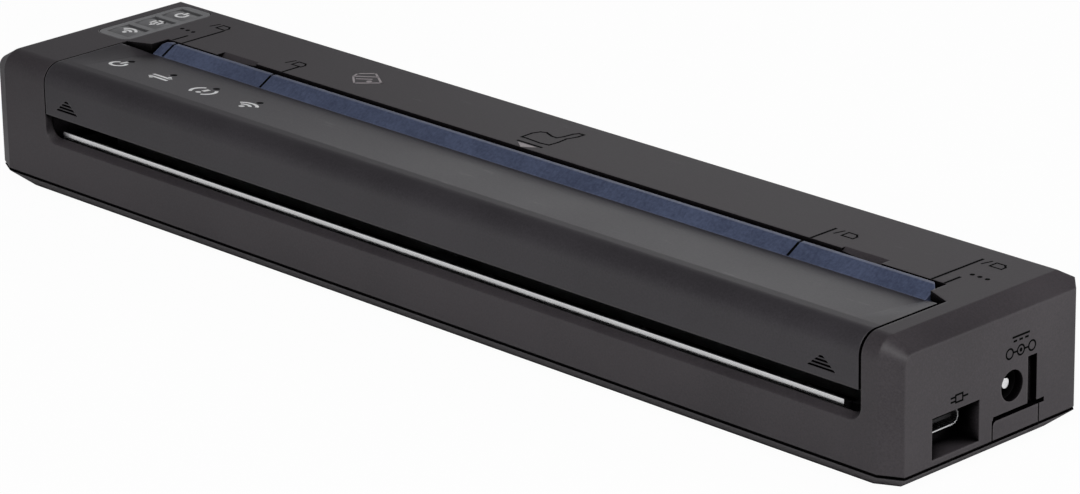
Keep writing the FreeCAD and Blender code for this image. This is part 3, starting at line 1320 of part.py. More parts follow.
# Thermal head
def make_head():
    low, high = D.sink_low, D.sink_low + D.sink_wall
    plate = box("sink_plate", (D.sink_left, D.sink_right), (D.sink_front, D.sink_rear), (low, high))
    parts = [plate]
    ears = ((D.sink_left, D.sink_left + D.head_ear_wall), (D.sink_right - D.head_ear_wall, D.sink_right))
    for x in ears:
        end = lower_end(HEAD_PIVOT, D.head_ear)
        web = [(D.sink_rear - D.head_ear * 2, high), (D.sink_rear - D.head_ear * 2, low)] + end
        web += [(end[3][0], D.head_pivot_z + D.head_ear * FLAT_SHARES[1]),
                (end[2][0], D.head_pivot_z + D.head_ear * FLAT_SHARES[0]), (D.sink_rear, high)]
        parts.append(Body("sink_ear").pad("YZ", [web], x[0], x[1]).item)
    fins = []
    for y in row((D.sink_front + D.sink_rear) / 2, D.sink_wall * 1.5, 3):
        fins.append(box("sink_fin", (D.sink_left + D.head_ear_wall * 4, D.sink_right - D.head_ear_wall * 4),
                        around(y, D.sink_wall * 0.4), (low - D.sink_wall * 0.6, low)))
    bore = rod("sink_bore", "X", HEAD_PIVOT, D.pin_radius + D.pin_play,
               (D.sink_left - D.overrun, D.sink_right + D.overrun))
    finish("head_heat_sink", cut("sink", fuse("sink_solid", parts + fins), [bore]))
    ceramic_top = high + D.head_wall
    glaze = D.glaze_half
    side = [(D.head_front, high), (D.sink_rear - D.flex_wall * 2, high),
            (D.sink_rear - D.flex_wall * 2, ceramic_top), (D.platen_y + glaze * 1.6, ceramic_top),
            (D.platen_y + glaze, ceramic_top + D.glaze_rise), (D.platen_y - glaze, ceramic_top + D.glaze_rise),
            (D.platen_y - glaze * 1.6, ceramic_top), (D.head_front, ceramic_top)]
    finish("thermal_head", Body("ceramic").pad("YZ", [side], D.sink_left + D.head_inset,
                                               D.sink_right - D.head_inset))
    slope = D.driver_rise * 0.5
    side = [(D.driver_front, ceramic_top), (D.driver_rear, ceramic_top),
            (D.driver_rear, ceramic_top + D.driver_rise), (D.driver_front + slope, ceramic_top + D.driver_rise),
            (D.driver_front, ceramic_top + slope)]
    finish("head_driver_cover", Body("drivers").pad("YZ", [side], D.sink_left + D.head_inset * 3,
                                                    D.sink_right - D.head_inset * 3))
    shaft = rod("head_shaft", "X", HEAD_PIVOT, D.pin_radius, (D.frame_left, D.frame_right + D.cover_gap))
    finish("head_pivot_shaft", shaft)


def make_head_spring():
    base = FLOOR + D.frame_wall
    wall, reach = D.spring_wall, D.spring_rear - D.spring_front
    xs = row(D.print_centre, D.spring_pitch, int(D.spring_fingers.number))
    strip = box("spring_base", (xs[0] - D.spring_finger, xs[-1] + D.spring_finger),
                (D.spring_front, D.spring_rear), (base, base + wall))
    body = Body("spring_finger_row")
    rear, tip = D.spring_rear, D.sink_low - D.sink_wall * 0.6 - wall
    side = [(rear - wall * 1.5, base + wall), (rear, base + wall), (rear - reach * 0.55, tip),
            (rear - reach * 0.7, tip + wall * 0.7), (rear - reach * 0.85, tip),
            (rear - reach * 0.85, tip - wall), (rear - reach * 0.7, tip - wall * 0.3),
            (rear - reach * 0.57, tip - wall)]
    x = around(xs[0], D.spring_finger)
    body.pad("YZ", [side], x[0], x[1])
    body.copies(D.spring_fingers, D.spring_pitch, "X")
    body.item.AllowCompound = True
    return finish("head_plate_spring", fuse("head_spring", [strip, body.item]))


def make_head_flex():
    start = D.sink_rear - D.flex_wall * 2
    low = D.sink_low + D.sink_wall + D.head_wall
    wall, gap = D.flex_wall, D.flex_gap
    near, far = D.bay_front - gap - wall, D.bay_front - gap
    bend = D.guide_low - wall * 7
    shelf = D.bay_top - D.frame_wall + gap
    board = D.board_front + wall * 4
    side = [(start, low - wall), (far, bend - wall), (far, shelf), (board + wall, shelf),
            (board + wall, D.bay_top + D.board_rise), (board, D.bay_top + D.board_rise),
            (board, shelf + wall), (near, shelf + wall), (near, bend), (start, low)]
    x = around(0 * TOP, D.flex_width)
    return finish("head_flex_cable", Body("head_flex").pad("YZ", [side], x[0], x[1]))


# Inner frame
def make_inner_frame():
    wall, low = D.frame_wall, FLOOR + D.frame_wall
    left, right = D.frame_left, D.frame_right
    tear_left = D.print_centre - D.tear_shift - D.tear_length / 2
    tear_right = D.print_centre - D.tear_shift + D.tear_length / 2
    parts = [box("frame_base", (left, right), (D.frame_floor_front, D.bay_front), (FLOOR, low)),
             box("frame_nose_wall", (tear_left, tear_right),
                 (D.frame_nose - D.frame_nose_wall, D.frame_nose), (low, D.frame_nose_top))]
    for x in ((left, left + D.frame_end_wall), (right - D.frame_end_wall, right)):
        parts.append(box("frame_end", x, (D.frame_nose, D.bay_front), (FLOOR, D.frame_end_top)))
    ceiling = (D.bay_top - wall, D.bay_top)
    inside = (D.bay_left, D.bay_right)
    parts.append(box("bay_front_wall", inside, (D.bay_front, D.bay_front + wall),
                     (FLOOR + D.door_gap, D.bay_top)))
    parts.append(box("bay_ceiling", inside, (D.bay_front, D.bay_rear), ceiling))
    parts.append(box("bay_rear_wall", inside, (D.bay_rear - wall, D.bay_rear), (D.bay_low, D.bay_top)))
    for x in ((D.bay_left, D.bay_left + wall), (D.bay_right - wall, D.bay_right)):
        parts.append(box("bay_end", x, (D.bay_front, D.bay_rear), (D.bay_low, D.bay_top)))
    for x in (D.board_left + D.stand_off * 3, D.board_right - D.stand_off * 3):
        for y in (D.board_front + D.stand_off * 2, D.board_rear - D.stand_off * 2):
            parts.append(block("board_post", (x, y), D.stand_off,
                               (D.bay_top - wall * 0.5, D.bay_top + D.board_rise)))
    for x in row(D.print_centre, D.spring_pitch, 4):
        parts.append(Body("nose_rib").pad("YZ", [[(D.frame_nose, low), (D.frame_nose + wall * 3, low),
                                                  (D.frame_nose, low + wall * 6)]],
                                          x - wall / 2, x + wall / 2).item)
    solid = fuse("frame_solid", parts)
    span = (left - D.overrun, right + D.overrun)
    cutters = [rod("shaft_holes", "X", HEAD_PIVOT, D.pin_radius + D.press_play, span),
               rod("post_hole", "X", IDLER, D.post_radius + D.press_play,
                   (left - D.overrun, left + D.frame_end_wall + D.overrun))]
    for place in latch_places()[:-1]:
        slot = latch_slot(place)
        cutters.append(box("latch_slot", slot[0], slot[1], (FLOOR - D.overrun, low + D.overrun)))
    notch = around(0 * TOP, D.flex_width * 1.1)
    cutters.append(box("flex_notch", notch, (D.bay_front - D.overrun, D.board_front + wall * 2),
                       (ceiling[0] + D.flex_gap * 0.5, D.bay_top + D.overrun)))
    return finish("inner_frame", cut("inner_frame_solid", solid, cutters))


# Gussets of the rear guide along its length; the middle stays free for the head's cable
GUSSET_SHARES = (0, 0.16, 0.31, 0.69, 0.84, 1)


def make_rear_guide():
    wall = D.guide_wall
    top_y, top = D.strip_rear + D.slot_wide, INNER_TOP - D.cover_gap * 0.5
    low_y, low = D.guide_low_y, D.guide_low
    side = [(top_y, top), (low_y, low), (low_y + wall, low - wall * 1.2),
            (low_y + wall * 1.9, low - wall * 1.2), (low_y + wall * 1.2, low), (top_y + wall * 1.2, top)]
    left = D.print_centre - D.strip_width / 2 + wall
    right = D.print_centre + D.strip_width / 2 - wall
    parts = [Body("guide_plate").pad("YZ", [side], left, right).item]
    web = [(low_y + wall * 1.5, low - wall), (D.bay_front, low - wall), (D.bay_front, low + wall * 4.2),
           (low_y + wall * 1.2, low)]
    for share in GUSSET_SHARES:
        x = left + wall * 4 + (right - left - wall * 8) * share
        parts.append(Body("gusset").pad("YZ", [web], x - wall / 2, x + wall / 2).item)
    return finish("rear_paper_guide", fuse("guide_solid", parts))


def make_tear_bar():
    rear = D.frame_nose - D.frame_nose_wall
    front = rear - D.tear_wall
    side = [(front, D.tear_low), (rear, D.tear_low), (rear, D.tear_top - D.tear_bevel),
            (rear - D.tear_wall * 0.4, D.tear_top), (front, D.tear_top)]
    middle = D.print_centre - D.tear_shift
    x = around(middle, D.tear_length)
    return finish("tear_bar", Body("tear_blade").pad("YZ", [side], x[0], x[1]))


def make_sensor():
    low = FLOOR + D.frame_wall
    y = (D.frame_nose + D.sensor_gap, D.frame_nose + D.sensor_gap + D.sensor_depth)
    x = around(D.print_centre, D.sensor_width)
    return finish("paper_sensor", box("sensor", x, y, (low, D.frame_end_top)))


# Battery and boards
def make_battery():
    left = D.bay_left + D.frame_wall + D.contact_block + D.battery_gap * 2
    low = FLOOR + D.battery_gap
    outline = rectangle((D.battery_front, D.battery_front + D.battery_width),
                        (low, low + D.battery_height), D.battery_round)
    finish("battery_pack", Body("battery").pad("YZ", [outline], left, left + D.battery_length))
    middle = D.battery_front + D.battery_width / 2
    start = D.bay_left + D.frame_wall
    face = start + D.contact_block * 0.75
    z = (D.bay_low, D.bay_low + D.contact_height)
    parts = [box("contact_body", (start, face), around(middle, D.contact_width), z)]
    for y in row(middle, D.contact_width / D.contact_count, int(D.contact_count.number)):
        parts.append(box("contact_blade", (face, start + D.contact_block),
                         around(y, D.contact_width * 0.06), (z[0] + D.contact_height * 0.2,
                                                             z[0] + D.contact_height * 0.8)))
    finish("battery_contacts", fuse("contact_solid", parts))


# Main board parts as shares of the board: middle along X and Y, size along X and Y, height
CHIP_SHARES = ((0.14, 0.4, 0.05, 0.36, 1), (0.27, 0.34, 0.07, 0.5, 0.8), (0.4, 0.4, 0.035, 0.32, 1),
               (0.56, 0.36, 0.06, 0.5, 0.7), (0.68, 0.4, 0.03, 0.3, 1), (0.78, 0.34, 0.04, 0.3, 0.9),
               (0.89, 0.38, 0.05, 0.45, 1))


def make_boards():
    low = D.bay_top + D.board_rise
    top = low + D.board_wall
    length, depth = D.board_right - D.board_left, D.board_rear - D.board_front
    finish("main_board", box("board", (D.board_left, D.board_right), (D.board_front, D.board_rear),
                             (low, top)))
    chips = []
    for x, y, size_x, size_y, height in CHIP_SHARES:
        chips.append(box("chip", around(D.board_left + length * x, length * size_x),
                         around(D.board_front + depth * y, depth * size_y),
                         (top, top + D.chip_height * height)))
    finish("board_components", group("chips", chips))
    z = (D.port_board_low, D.port_board_low + D.port_board_wall)
    finish("port_board", box("ports", (D.port_board_left, D.port_board_right),
                             (D.port_board_front, D.port_board_rear), z))


def make_ports():
    back = HALF_LENGTH - D.socket_depth
    mouth = back + D.shell_reach
    body = Body("usb_shell").pad("YZ", [shell_outline(as_size(0)), shell_outline(-2 * D.shell_wall)],
                                 mouth - D.shell_length, mouth)
    finish("usb_port", body)
    blade = box("usb_blade", (mouth - D.shell_length, mouth - D.tongue_set),
                around(D.socket_y, D.tongue_wide), around(D.shell_z, D.tongue_thick))
    root = box("usb_root", (mouth - D.shell_length, mouth - D.shell_length * 0.8),
               around(D.socket_y, D.tongue_wide * 0.9), around(D.shell_z, D.shell_height * 0.75))
    finish("usb_tongue", fuse("usb_core", [blade, root]))
    face = HALF_LENGTH - D.case_wall - D.panel_play
    low = D.port_board_low + D.port_board_wall
    block = box("jack_block", (face - D.jack_depth - D.panel_play * 9, face),
                around(D.jack_y, D.jack_width), (low, low + D.jack_height))
    jack = (D.jack_y, D.jack_z)
    bore = rod("jack_bore", "X", jack, D.jack_bore - D.panel_play, (face - D.jack_depth, face + D.overrun))
    finish("dc_jack", cut("jack_body", block, [bore]))
    pin = rod("jack_pin", "X", jack, D.jack_pin, (face - D.jack_depth, HALF_LENGTH - D.jack_pin_set))
    finish("dc_jack_pin", pin)


# Buttons
def panel_low():
    return INNER_TOP - D.panel_flange


def button_low():
    return panel_low() - D.button_rest_gap - D.button_flange_wall


def button_board_top():
    return button_low() - D.switch_gap - D.plunger_height - D.switch_height


def button_places():
    return row(D.panel_y, D.button_pitch, 3)


def make_button_panel():
    x = around(D.panel_x, D.panel_width)
    body = Body("panel_plate")
    body.pad("XY", [rectangle(x, around(D.panel_y, D.panel_length), D.panel_round)], INNER_TOP, TOP)
    wide = around(D.panel_x, D.panel_width + D.panel_flange * 2)
    body.pad("XY", [rectangle(wide, around(D.panel_y, D.panel_length - D.panel_round * 1.4))],
             panel_low(), INNER_TOP)
    holes = []
    for y in button_places():
        holes.append(rectangle(around(D.panel_x, D.button_width + D.button_play * 2),
                               around(y, D.button_length + D.button_play * 2)))
    body.pocket("XY", holes, panel_low() - D.overrun, TOP + D.overrun)
    return finish("button_panel", body)


def make_button(node, y):
    body = Body(node + "_body")
    top, low = TOP - D.button_set, button_low()
    x = around(D.panel_x, D.button_width)
    body.pad("XY", [rectangle(x, around(y, D.button_length), D.panel_round * 0.25)], low, top)
    wide = D.button_flange * 2
    flange = rectangle(around(D.panel_x, D.button_width + wide), around(y, D.button_length + wide))
    body.pad("XY", [flange], low, low + D.button_flange_wall)
    crown = rod(node + "_crown", "X", (y, top - D.button_crown), D.button_crown,
                (x[0] - wide, x[1] + wide))
    return finish(node, common(node + "_solid", [body.item, crown]))


def make_button_board():
    top = button_board_top()
    finish("button_board", box("keys", around(D.panel_x, D.button_board_width),
                               around(D.panel_y, D.button_board_length),
                               (top - D.button_board_wall, top)))
    switches = []
    for y in button_places():
        body = box("switch", around(D.panel_x, D.switch_size), around(y, D.switch_size),
                   (top, top + D.switch_height))
        plunger = block("plunger", (D.panel_x, y), D.plunger_radius,
                          (top, top + D.switch_height + D.plunger_height))
        switches.append(fuse("key_switch", [body, plunger]))
    finish("button_switches", group("switches", switches))


# Fastening
def make_pins():
    pins = [rod("hinge_pin", "X", PIVOT, D.pin_radius, hinge_span(side)) for side in (-1, 1)]
    finish("hinge_pins", group("pin_pair", pins))


def make_screws():
    low = D.foot_lift + D.screw_sink
    seat = low + D.screw_head_height
    screws = []
    for place in corner_places("screw"):
        stem = upright("case_screw_stem", place, D.screw_radius, (seat, seat + D.screw_length))
        head = upright("case_screw_head", place, D.screw_head, (low, seat))
        slots = []
        for wide, slim in ((1.3, 0.3), (0.3, 1.3)):
            slots.append(box("cross", around(place[0], D.screw_head * wide), around(place[1], D.screw_head * slim),
                             (low - D.overrun, low + D.screw_head_height * 0.6)))
        screws.append(cut("case_screw", fuse("case_screw_solid", [stem, head]), slots))
    finish("case_screws", group("case_screw_set", screws))
    feet = [block("foot", place, D.foot_half, (0 * TOP, D.foot_height)) for place in corner_places("foot")]
    finish("rubber_feet", group("foot_set", feet))


make_upper_case()
BASE = base_shell()
make_lower_case(BASE)
make_battery_door(BASE)
make_release_cover()
make_strip()
make_cover_frame()
make_platen_bushes()
make_indicators()
make_platen()
make_idler()
make_motor()
make_gear_plate()
make_head()
make_head_spring()
make_head_flex()
make_inner_frame()
make_rear_guide()
make_tear_bar()
make_sensor()
make_battery()
make_boards()
make_ports()
make_button_panel()
for button, button_y in zip(("wireless_button", "feed_button", "power_button"), button_places()):
    make_button(button, button_y)
make_button_board()
make_pins()
make_screws()
doc.recompute()

faults = []
for item in doc.Objects:
    if any(word in item.State for word in ("Invalid", "Error")):
        faults.append("%s is in the state %s" % (item.Name, item.State))
    shape = getattr(item, "Shape", None)
    if shape is not None and not item.isDerivedFrom("Sketcher::SketchObject") and hasattr(shape, "isNull"):
        if item.isDerivedFrom("PartDesign::Body") or item in PARTS or item.isDerivedFrom("Part::Boolean"):
            if shape.isNull() or not shape.isValid():
                faults.append("%s has no valid shape" % item.Name)
for pocket in POCKETS:
    if pocket.Shape.isNull() or pocket.Shape.Volume >= pocket.BaseFeature.Shape.Volume:
        faults.append("%s takes nothing away" % pocket.Name)
if faults:
    raise RuntimeError("\n".join(faults))

os.makedirs("parts", exist_ok=True)
for item in PARTS:
    item.Shape.exportStep(os.path.join("parts", item.Label + ".step"))
print("%d parts written" % len(PARTS))
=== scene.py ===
"""Looks of a portable thermal printer: finishes, printed marks, painted shade standing for engraved marks,
floor, lamps and camera.
"""
import json
import math

import bmesh
import bpy
from mathutils import Matrix, Vector


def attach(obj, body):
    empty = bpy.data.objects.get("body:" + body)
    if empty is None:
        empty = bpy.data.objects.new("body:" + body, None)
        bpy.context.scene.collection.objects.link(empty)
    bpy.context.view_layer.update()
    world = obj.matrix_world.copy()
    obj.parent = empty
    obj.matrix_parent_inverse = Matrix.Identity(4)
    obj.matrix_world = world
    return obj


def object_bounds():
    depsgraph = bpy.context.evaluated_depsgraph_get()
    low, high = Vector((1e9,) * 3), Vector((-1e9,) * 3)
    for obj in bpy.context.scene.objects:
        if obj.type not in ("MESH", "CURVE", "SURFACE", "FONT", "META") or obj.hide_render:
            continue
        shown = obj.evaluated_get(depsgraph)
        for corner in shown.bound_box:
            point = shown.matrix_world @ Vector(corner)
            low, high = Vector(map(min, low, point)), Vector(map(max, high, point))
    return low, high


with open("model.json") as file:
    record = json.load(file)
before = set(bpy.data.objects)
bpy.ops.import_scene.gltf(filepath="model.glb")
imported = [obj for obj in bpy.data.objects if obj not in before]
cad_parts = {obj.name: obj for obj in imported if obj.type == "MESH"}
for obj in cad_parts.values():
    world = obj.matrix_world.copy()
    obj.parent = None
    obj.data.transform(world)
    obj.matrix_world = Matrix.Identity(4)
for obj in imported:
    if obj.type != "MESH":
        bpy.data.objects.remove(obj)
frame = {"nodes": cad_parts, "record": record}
cad_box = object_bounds()
MM = 0.001


# Places taken from the frame, in millimetres
def node_box(name):
    """Low and high corner of a CAD piece."""
    places = [vertex.co / MM for vertex in frame["nodes"][name].data.vertices]
    low = [round(min(place[axis] for place in places), 3) for axis in range(3)]
    high = [round(max(place[axis] for place in places), 3) for axis in range(3)]
    return low, high


END_FACE, REAR_FACE, HOUSING_TOP = (round(side / MM, 3) for side in cad_box[1])
COVER_LOW, COVER_HIGH = node_box("release_cover")
STRIP_LOW, STRIP_HIGH = node_box("paper_guide_strip")
LENSES_LOW, LENSES_HIGH = node_box("indicator_lenses")
BATTERY_LOW = node_box("battery_pack")[0]


# Camera at the photograph's viewing angle
AZIMUTH = math.radians(46.32)
ELEVATION = math.radians(19.69)
ROLL = math.radians(-1.17)
DISTANCE = 0.9552
TARGET = Vector((0, 0, HOUSING_TOP / 2)) * MM
SENSOR_WIDTH = 36
NEAREST = 0.01
FARTHEST = 20
PICTURE_WIDTH = 1080
PICTURE_HEIGHT = 494
FOCUS_PIXELS = 4829.8
AXIS_PIXEL = (504.98, 221.38)


def make_camera():
    back = Vector((math.sin(AZIMUTH) * math.cos(ELEVATION),
                   -math.cos(AZIMUTH) * math.cos(ELEVATION), math.sin(ELEVATION)))
    level = Vector((0, 0, 1)).cross(back).normalized()
    upright = back.cross(level)
    right = level * math.cos(ROLL) + upright * math.sin(ROLL)
    up = upright * math.cos(ROLL) - level * math.sin(ROLL)
    data = bpy.data.cameras.new("photo_camera")
    camera = bpy.data.objects.new("photo_camera", data)
    bpy.context.collection.objects.link(camera)
    data.sensor_width = SENSOR_WIDTH
    data.lens = FOCUS_PIXELS / PICTURE_WIDTH * SENSOR_WIDTH
    data.shift_x = (PICTURE_WIDTH / 2 - AXIS_PIXEL[0]) / PICTURE_WIDTH
    data.shift_y = (AXIS_PIXEL[1] - PICTURE_HEIGHT / 2) / PICTURE_WIDTH
    data.clip_start = NEAREST
    data.clip_end = FARTHEST
    turn = Matrix((right, up, back)).transposed().to_4x4()
    camera.matrix_world = Matrix.Translation(TARGET + back * DISTANCE) @ turn
    bpy.context.scene.camera = camera


make_camera()


# Shader maths
class Socket:
    """An output of a shader node; expressions on it add Math nodes."""

    def __init__(self, graph, output):
        self.graph = graph
        self.output = output

    def math(self, operation, first, second=0.0):
        return self.graph.node("ShaderNodeMath", {"operation": operation}, {0: first, 1: second})

    def __add__(self, other):
        return self.math("ADD", self, other)

    def __radd__(self, other):
        return self.math("ADD", other, self)

    def __sub__(self, other):
        return self.math("SUBTRACT", self, other)

    def __rsub__(self, other):
        return self.math("SUBTRACT", other, self)

    def __mul__(self, other):
        return self.math("MULTIPLY", self, other)

    def __rmul__(self, other):
        return self.math("MULTIPLY", other, self)

    def __truediv__(self, other):
        return self.math("DIVIDE", self, other)

    def __pow__(self, other):
        return self.math("POWER", self, other)

    def __abs__(self):
        return self.math("ABSOLUTE", self)

    def least(self, other):
        return self.math("MINIMUM", self, other)

    def most(self, other):
        return self.math("MAXIMUM", self, other)

    def fraction(self):
        """What is left of the value after its whole number."""
        return self.math("FRACT", self)

    def over(self, level):
        """One where the value is over the level, else nothing."""
        return self.math("GREATER_THAN", self, level)

    def within(self, low, high):
        """Runs from nothing at low to one at high, and stays there."""
        return self.graph.node("ShaderNodeMapRange", {"clamp": True, "interpolation_type": "SMOOTHSTEP"},
                               {0: self, 1: low, 2: high, 3: 0.0, 4: 1.0})


class Graph:
    """A tree of shader nodes that ends in one output node."""

    def __init__(self, tree, ending):
        self.tree = tree
        tree.nodes.clear()
        self.ending = tree.nodes.new(ending)

    def node(self, kind, settings=None, values=None, output=0):
        """Adds a node, first with its settings, then with the values or links of its sockets."""
        made = self.tree.nodes.new(kind)
        for key, value in (settings or {}).items():
            if key == "stops":
                self.place_stops(made.color_ramp.elements, value)
            else:
                setattr(made, key, value)
        for key, value in (values or {}).items():
            self.feed(made.inputs[key], value)
        return Socket(self, made.outputs[output])

    def place_stops(self, elements, stops):
        while len(elements) < len(stops):
            elements.new(0.5)
        for element, (position, colour) in zip(elements, stops):
            element.position = position
            element.color = (*colour, 1)

    def feed(self, target, value):
        if isinstance(value, Socket):
            self.tree.links.new(value.output, target)
        elif isinstance(value, (tuple, list)) and target.type == "RGBA":
            target.default_value = (*value, 1)
        else:
            target.default_value = value

    def blend(self, mask, first, second):
        return self.node("ShaderNodeMix", {"data_type": "RGBA"}, {0: mask, 6: first, 7: second}, 2)

    def mix(self, mask, first, second):
        """Mixes two shaders."""
        return self.node("ShaderNodeMixShader", values={0: mask, 1: first, 2: second})

    def ray(self, kind):
        """One for rays of that kind."""
        return self.node("ShaderNodeLightPath", output="Is " + kind + " Ray")

    def show(self, shader):
        self.feed(self.ending.inputs[0], shader)


# Shade in joints and recesses, which the photograph shows black
SHADE_SAMPLES = 8
SEAM_REACH = 1.2 * MM
SEAM_SHARES = (0.3, 0.85)
RECESS_REACH = 6 * MM
RECESS_SHARES = (0.5, 0.92)
FOOT_HEIGHTS = (5 * MM, 8 * MM)
UNDERSIDE_HEIGHTS = (1.5 * MM, 2.5 * MM)
DOWNWARD_SHARES = (0.8, 0.95)
# Near-black colours of painted shade for seams, engraved lines and recesses
DULL_PAINTED_SHADE = (0.0015, 0.0012, 0.0015)
HOUSING_PAINTED_SHADE = (0.0025, 0.002, 0.0025)
SATIN_PAINTED_SHADE = (0.002, 0.002, 0.002)
EDGE_SHARES = (0.01, 0.25)
EDGE_SAMPLES = 4
ROUNDING_SAMPLES = 6


class Finish(Graph):
    """A material of one Principled shader, with its patterns on Object coordinates."""

    def __init__(self, name, **constants):
        self.material = bpy.data.materials.new(name)
        self.material.use_nodes = True
        super().__init__(self.material.node_tree, "ShaderNodeOutputMaterial")
        self.shader = self.tree.nodes.new("ShaderNodeBsdfPrincipled")
        self.body = Socket(self, self.shader.outputs[0])
        self.show(self.body)
        for key, value in constants.items():
            self.shader.inputs[key.replace("_", " ")].default_value = value
        self.place = self.node("ShaderNodeTexCoord", output="Object")

    def set(self, key, value):
        self.feed(self.shader.inputs[key], value)

    def stretched(self, scale, turn=(0, 0, 0)):
        return self.node("ShaderNodeMapping", values={0: self.place, 2: turn, 3: scale})

    def noise(self, size, detail=2.0, roughness=0.5, where=None):
        """Noise whose patches measure about size metres."""
        return self.node("ShaderNodeTexNoise", values={
            "Vector": where or self.place, "Scale": 1 / size, "Detail": detail, "Roughness": roughness})

    def cells(self, size):
        """How far the nearest of points lies that stand about size metres apart."""
        return self.node("ShaderNodeTexVoronoi", values={"Vector": self.place, "Scale": 1 / size},
                         output="Distance")

    def stripes(self, size):
        """Soft stripes across the length, of which about three fall within size metres."""
        return self.node("ShaderNodeTexWave", {"bands_direction": "X"},
                         {"Vector": self.place, "Scale": 1 / size}, "Fac")

    def axis(self, index):
        return self.node("ShaderNodeSeparateXYZ", values={0: self.place}, output=index)

    def rounded(self, radius, samples):
        return self.node("ShaderNodeBevel", {"samples": samples}, {"Radius": radius})

    def edge(self, radius):
        """Rises from nothing near the edges of the piece, where hands and cloth wear it; the guide strip
        also takes a painted highlight there.
        """
        flat = self.node("ShaderNodeNewGeometry", output="Normal")
        match = self.node("ShaderNodeVectorMath", {"operation": "DOT_PRODUCT"},
                          {0: self.rounded(radius, EDGE_SAMPLES), 1: flat}, "Value")
        return (1 - match).within(*EDGE_SHARES)

    def open_share(self, reach, own=False):
        """One on open surfaces, less in recesses narrower than reach; own leaves other pieces out."""
        return self.node("ShaderNodeAmbientOcclusion", {"samples": SHADE_SAMPLES, "only_local": own},
                         {"Distance": reach}, "AO")

    def underside(self):
        """One on the faces that look down at the floor."""
        normal = self.node("ShaderNodeNewGeometry", output="Normal")
        down = 0 - self.node("ShaderNodeSeparateXYZ", values={0: normal}, output=2)
        return down.within(*DOWNWARD_SHARES) * (1 - self.axis(2).within(*UNDERSIDE_HEIGHTS))

    def painted_shade_clearance(self):
        """Mask of painted shade: one on open surfaces, falling to nothing in seams, engraved lines and deep
        recesses, but not beside the floor alone.
        """
        seams = self.open_share(SEAM_REACH).within(*SEAM_SHARES)
        own = self.open_share(RECESS_REACH, True).within(*RECESS_SHARES)
        shared = self.open_share(RECESS_REACH).within(*RECESS_SHARES)
        foot = 1 - self.axis(2).within(*FOOT_HEIGHTS)
        return seams.most(self.underside()) * own.least(shared.most(foot))

    def paint_dull_shade(self, clear):
        """Paints shade as a dull black shader where clear falls to nothing, which takes the shine away too.
        """
        dull = self.node("ShaderNodeBsdfDiffuse", values={0: DULL_PAINTED_SHADE})
        self.show(self.mix(clear, dull, self.body))

    def relief(self, height, distance, strength=1.0, radius=0.0):
        """Bump of that height in metres, on edges softened by radius."""
        values = {"Strength": strength, "Distance": distance, "Height": height}
        if radius:
            values["Normal"] = self.rounded(radius, ROUNDING_SAMPLES)
        self.set("Normal", self.node("ShaderNodeBump", values=values))


def grained_plastic(name, dark, light, edge_tone, rough):
    """Moulded housing plastic with a fine spark-eroded grain, clouding, paler edges and painted shade in
    seams and recesses.
    """
    grain = 0.45 * MM
    rounding = 0.5 * MM
    finish = Finish(name, IOR=1.47, Specular_IOR_Level=0.4)
    fine = finish.noise(grain, detail=3.0, roughness=0.6)
    speck = finish.cells(grain * 0.8)
    cloud = finish.noise(size=24 * MM)
    slanted = finish.stretched(scale=(0.25, 1.4, 1.0), turn=(0, 0, 0.5))
    scuffs = finish.noise(size=3 * MM, detail=4.0, roughness=0.7, where=slanted).within(0.62, 0.75)
    edge_mask = finish.edge(rounding * 1.6)
    # Painted shade: in seams and recesses the base colour goes near black, the roughness rises and the shine
    # goes
    clear = finish.painted_shade_clearance()
    tone = (fine - 0.5) * 0.9 + (cloud - 0.5) * 0.8 + (speck - 0.4) * 0.3 + 0.5
    body = finish.blend(edge_mask * 0.3, finish.blend(tone.within(0.0, 1.0), dark, light), edge_tone)
    finish.set("Base Color", finish.blend(clear, HOUSING_PAINTED_SHADE, body))
    finish.set("Roughness", rough + (fine - 0.5) * 0.16 + (cloud - 0.5) * 0.1
               - scuffs * 0.07 - edge_mask * 0.08 + (1 - clear) * 0.3)
    finish.relief(fine * 0.7 + speck * 0.3, distance=0.012 * MM, radius=rounding)
    finish.paint_dull_shade(clear)
    return finish.material


def satin_plastic(name, dark, light, rough, shade=1.0):
    """Smooth moulded plastic with a little flow and handling; shade is how far the painted shade in its
    seams and recesses goes.
    """
    rounding = 0.15 * MM
    finish = Finish(name, IOR=1.49)
    flow = finish.noise(size=1.2 * MM, detail=3.0, roughness=0.55, where=finish.stretched((0.35, 1.0, 1.0)))
    cloud = finish.noise(size=14 * MM)
    edge_mask = finish.edge(rounding * 1.6)
    # Painted shade in seams and recesses, scaled by shade: near-black base colour, more roughness and no
    # shine
    clear = finish.painted_shade_clearance() * shade + (1 - shade)
    body = finish.blend((flow * 0.6 + cloud * 0.4 + edge_mask * 0.3).within(0.25, 0.95), dark, light)
    finish.set("Base Color", finish.blend(clear, SATIN_PAINTED_SHADE, body))
    finish.set("Roughness", rough + (flow - 0.5) * 0.14 - edge_mask * 0.05 + (1 - clear) * 0.3)
    finish.relief(flow, distance=0.004 * MM, strength=0.8, radius=rounding)
    finish.paint_dull_shade(clear)
    return finish.material


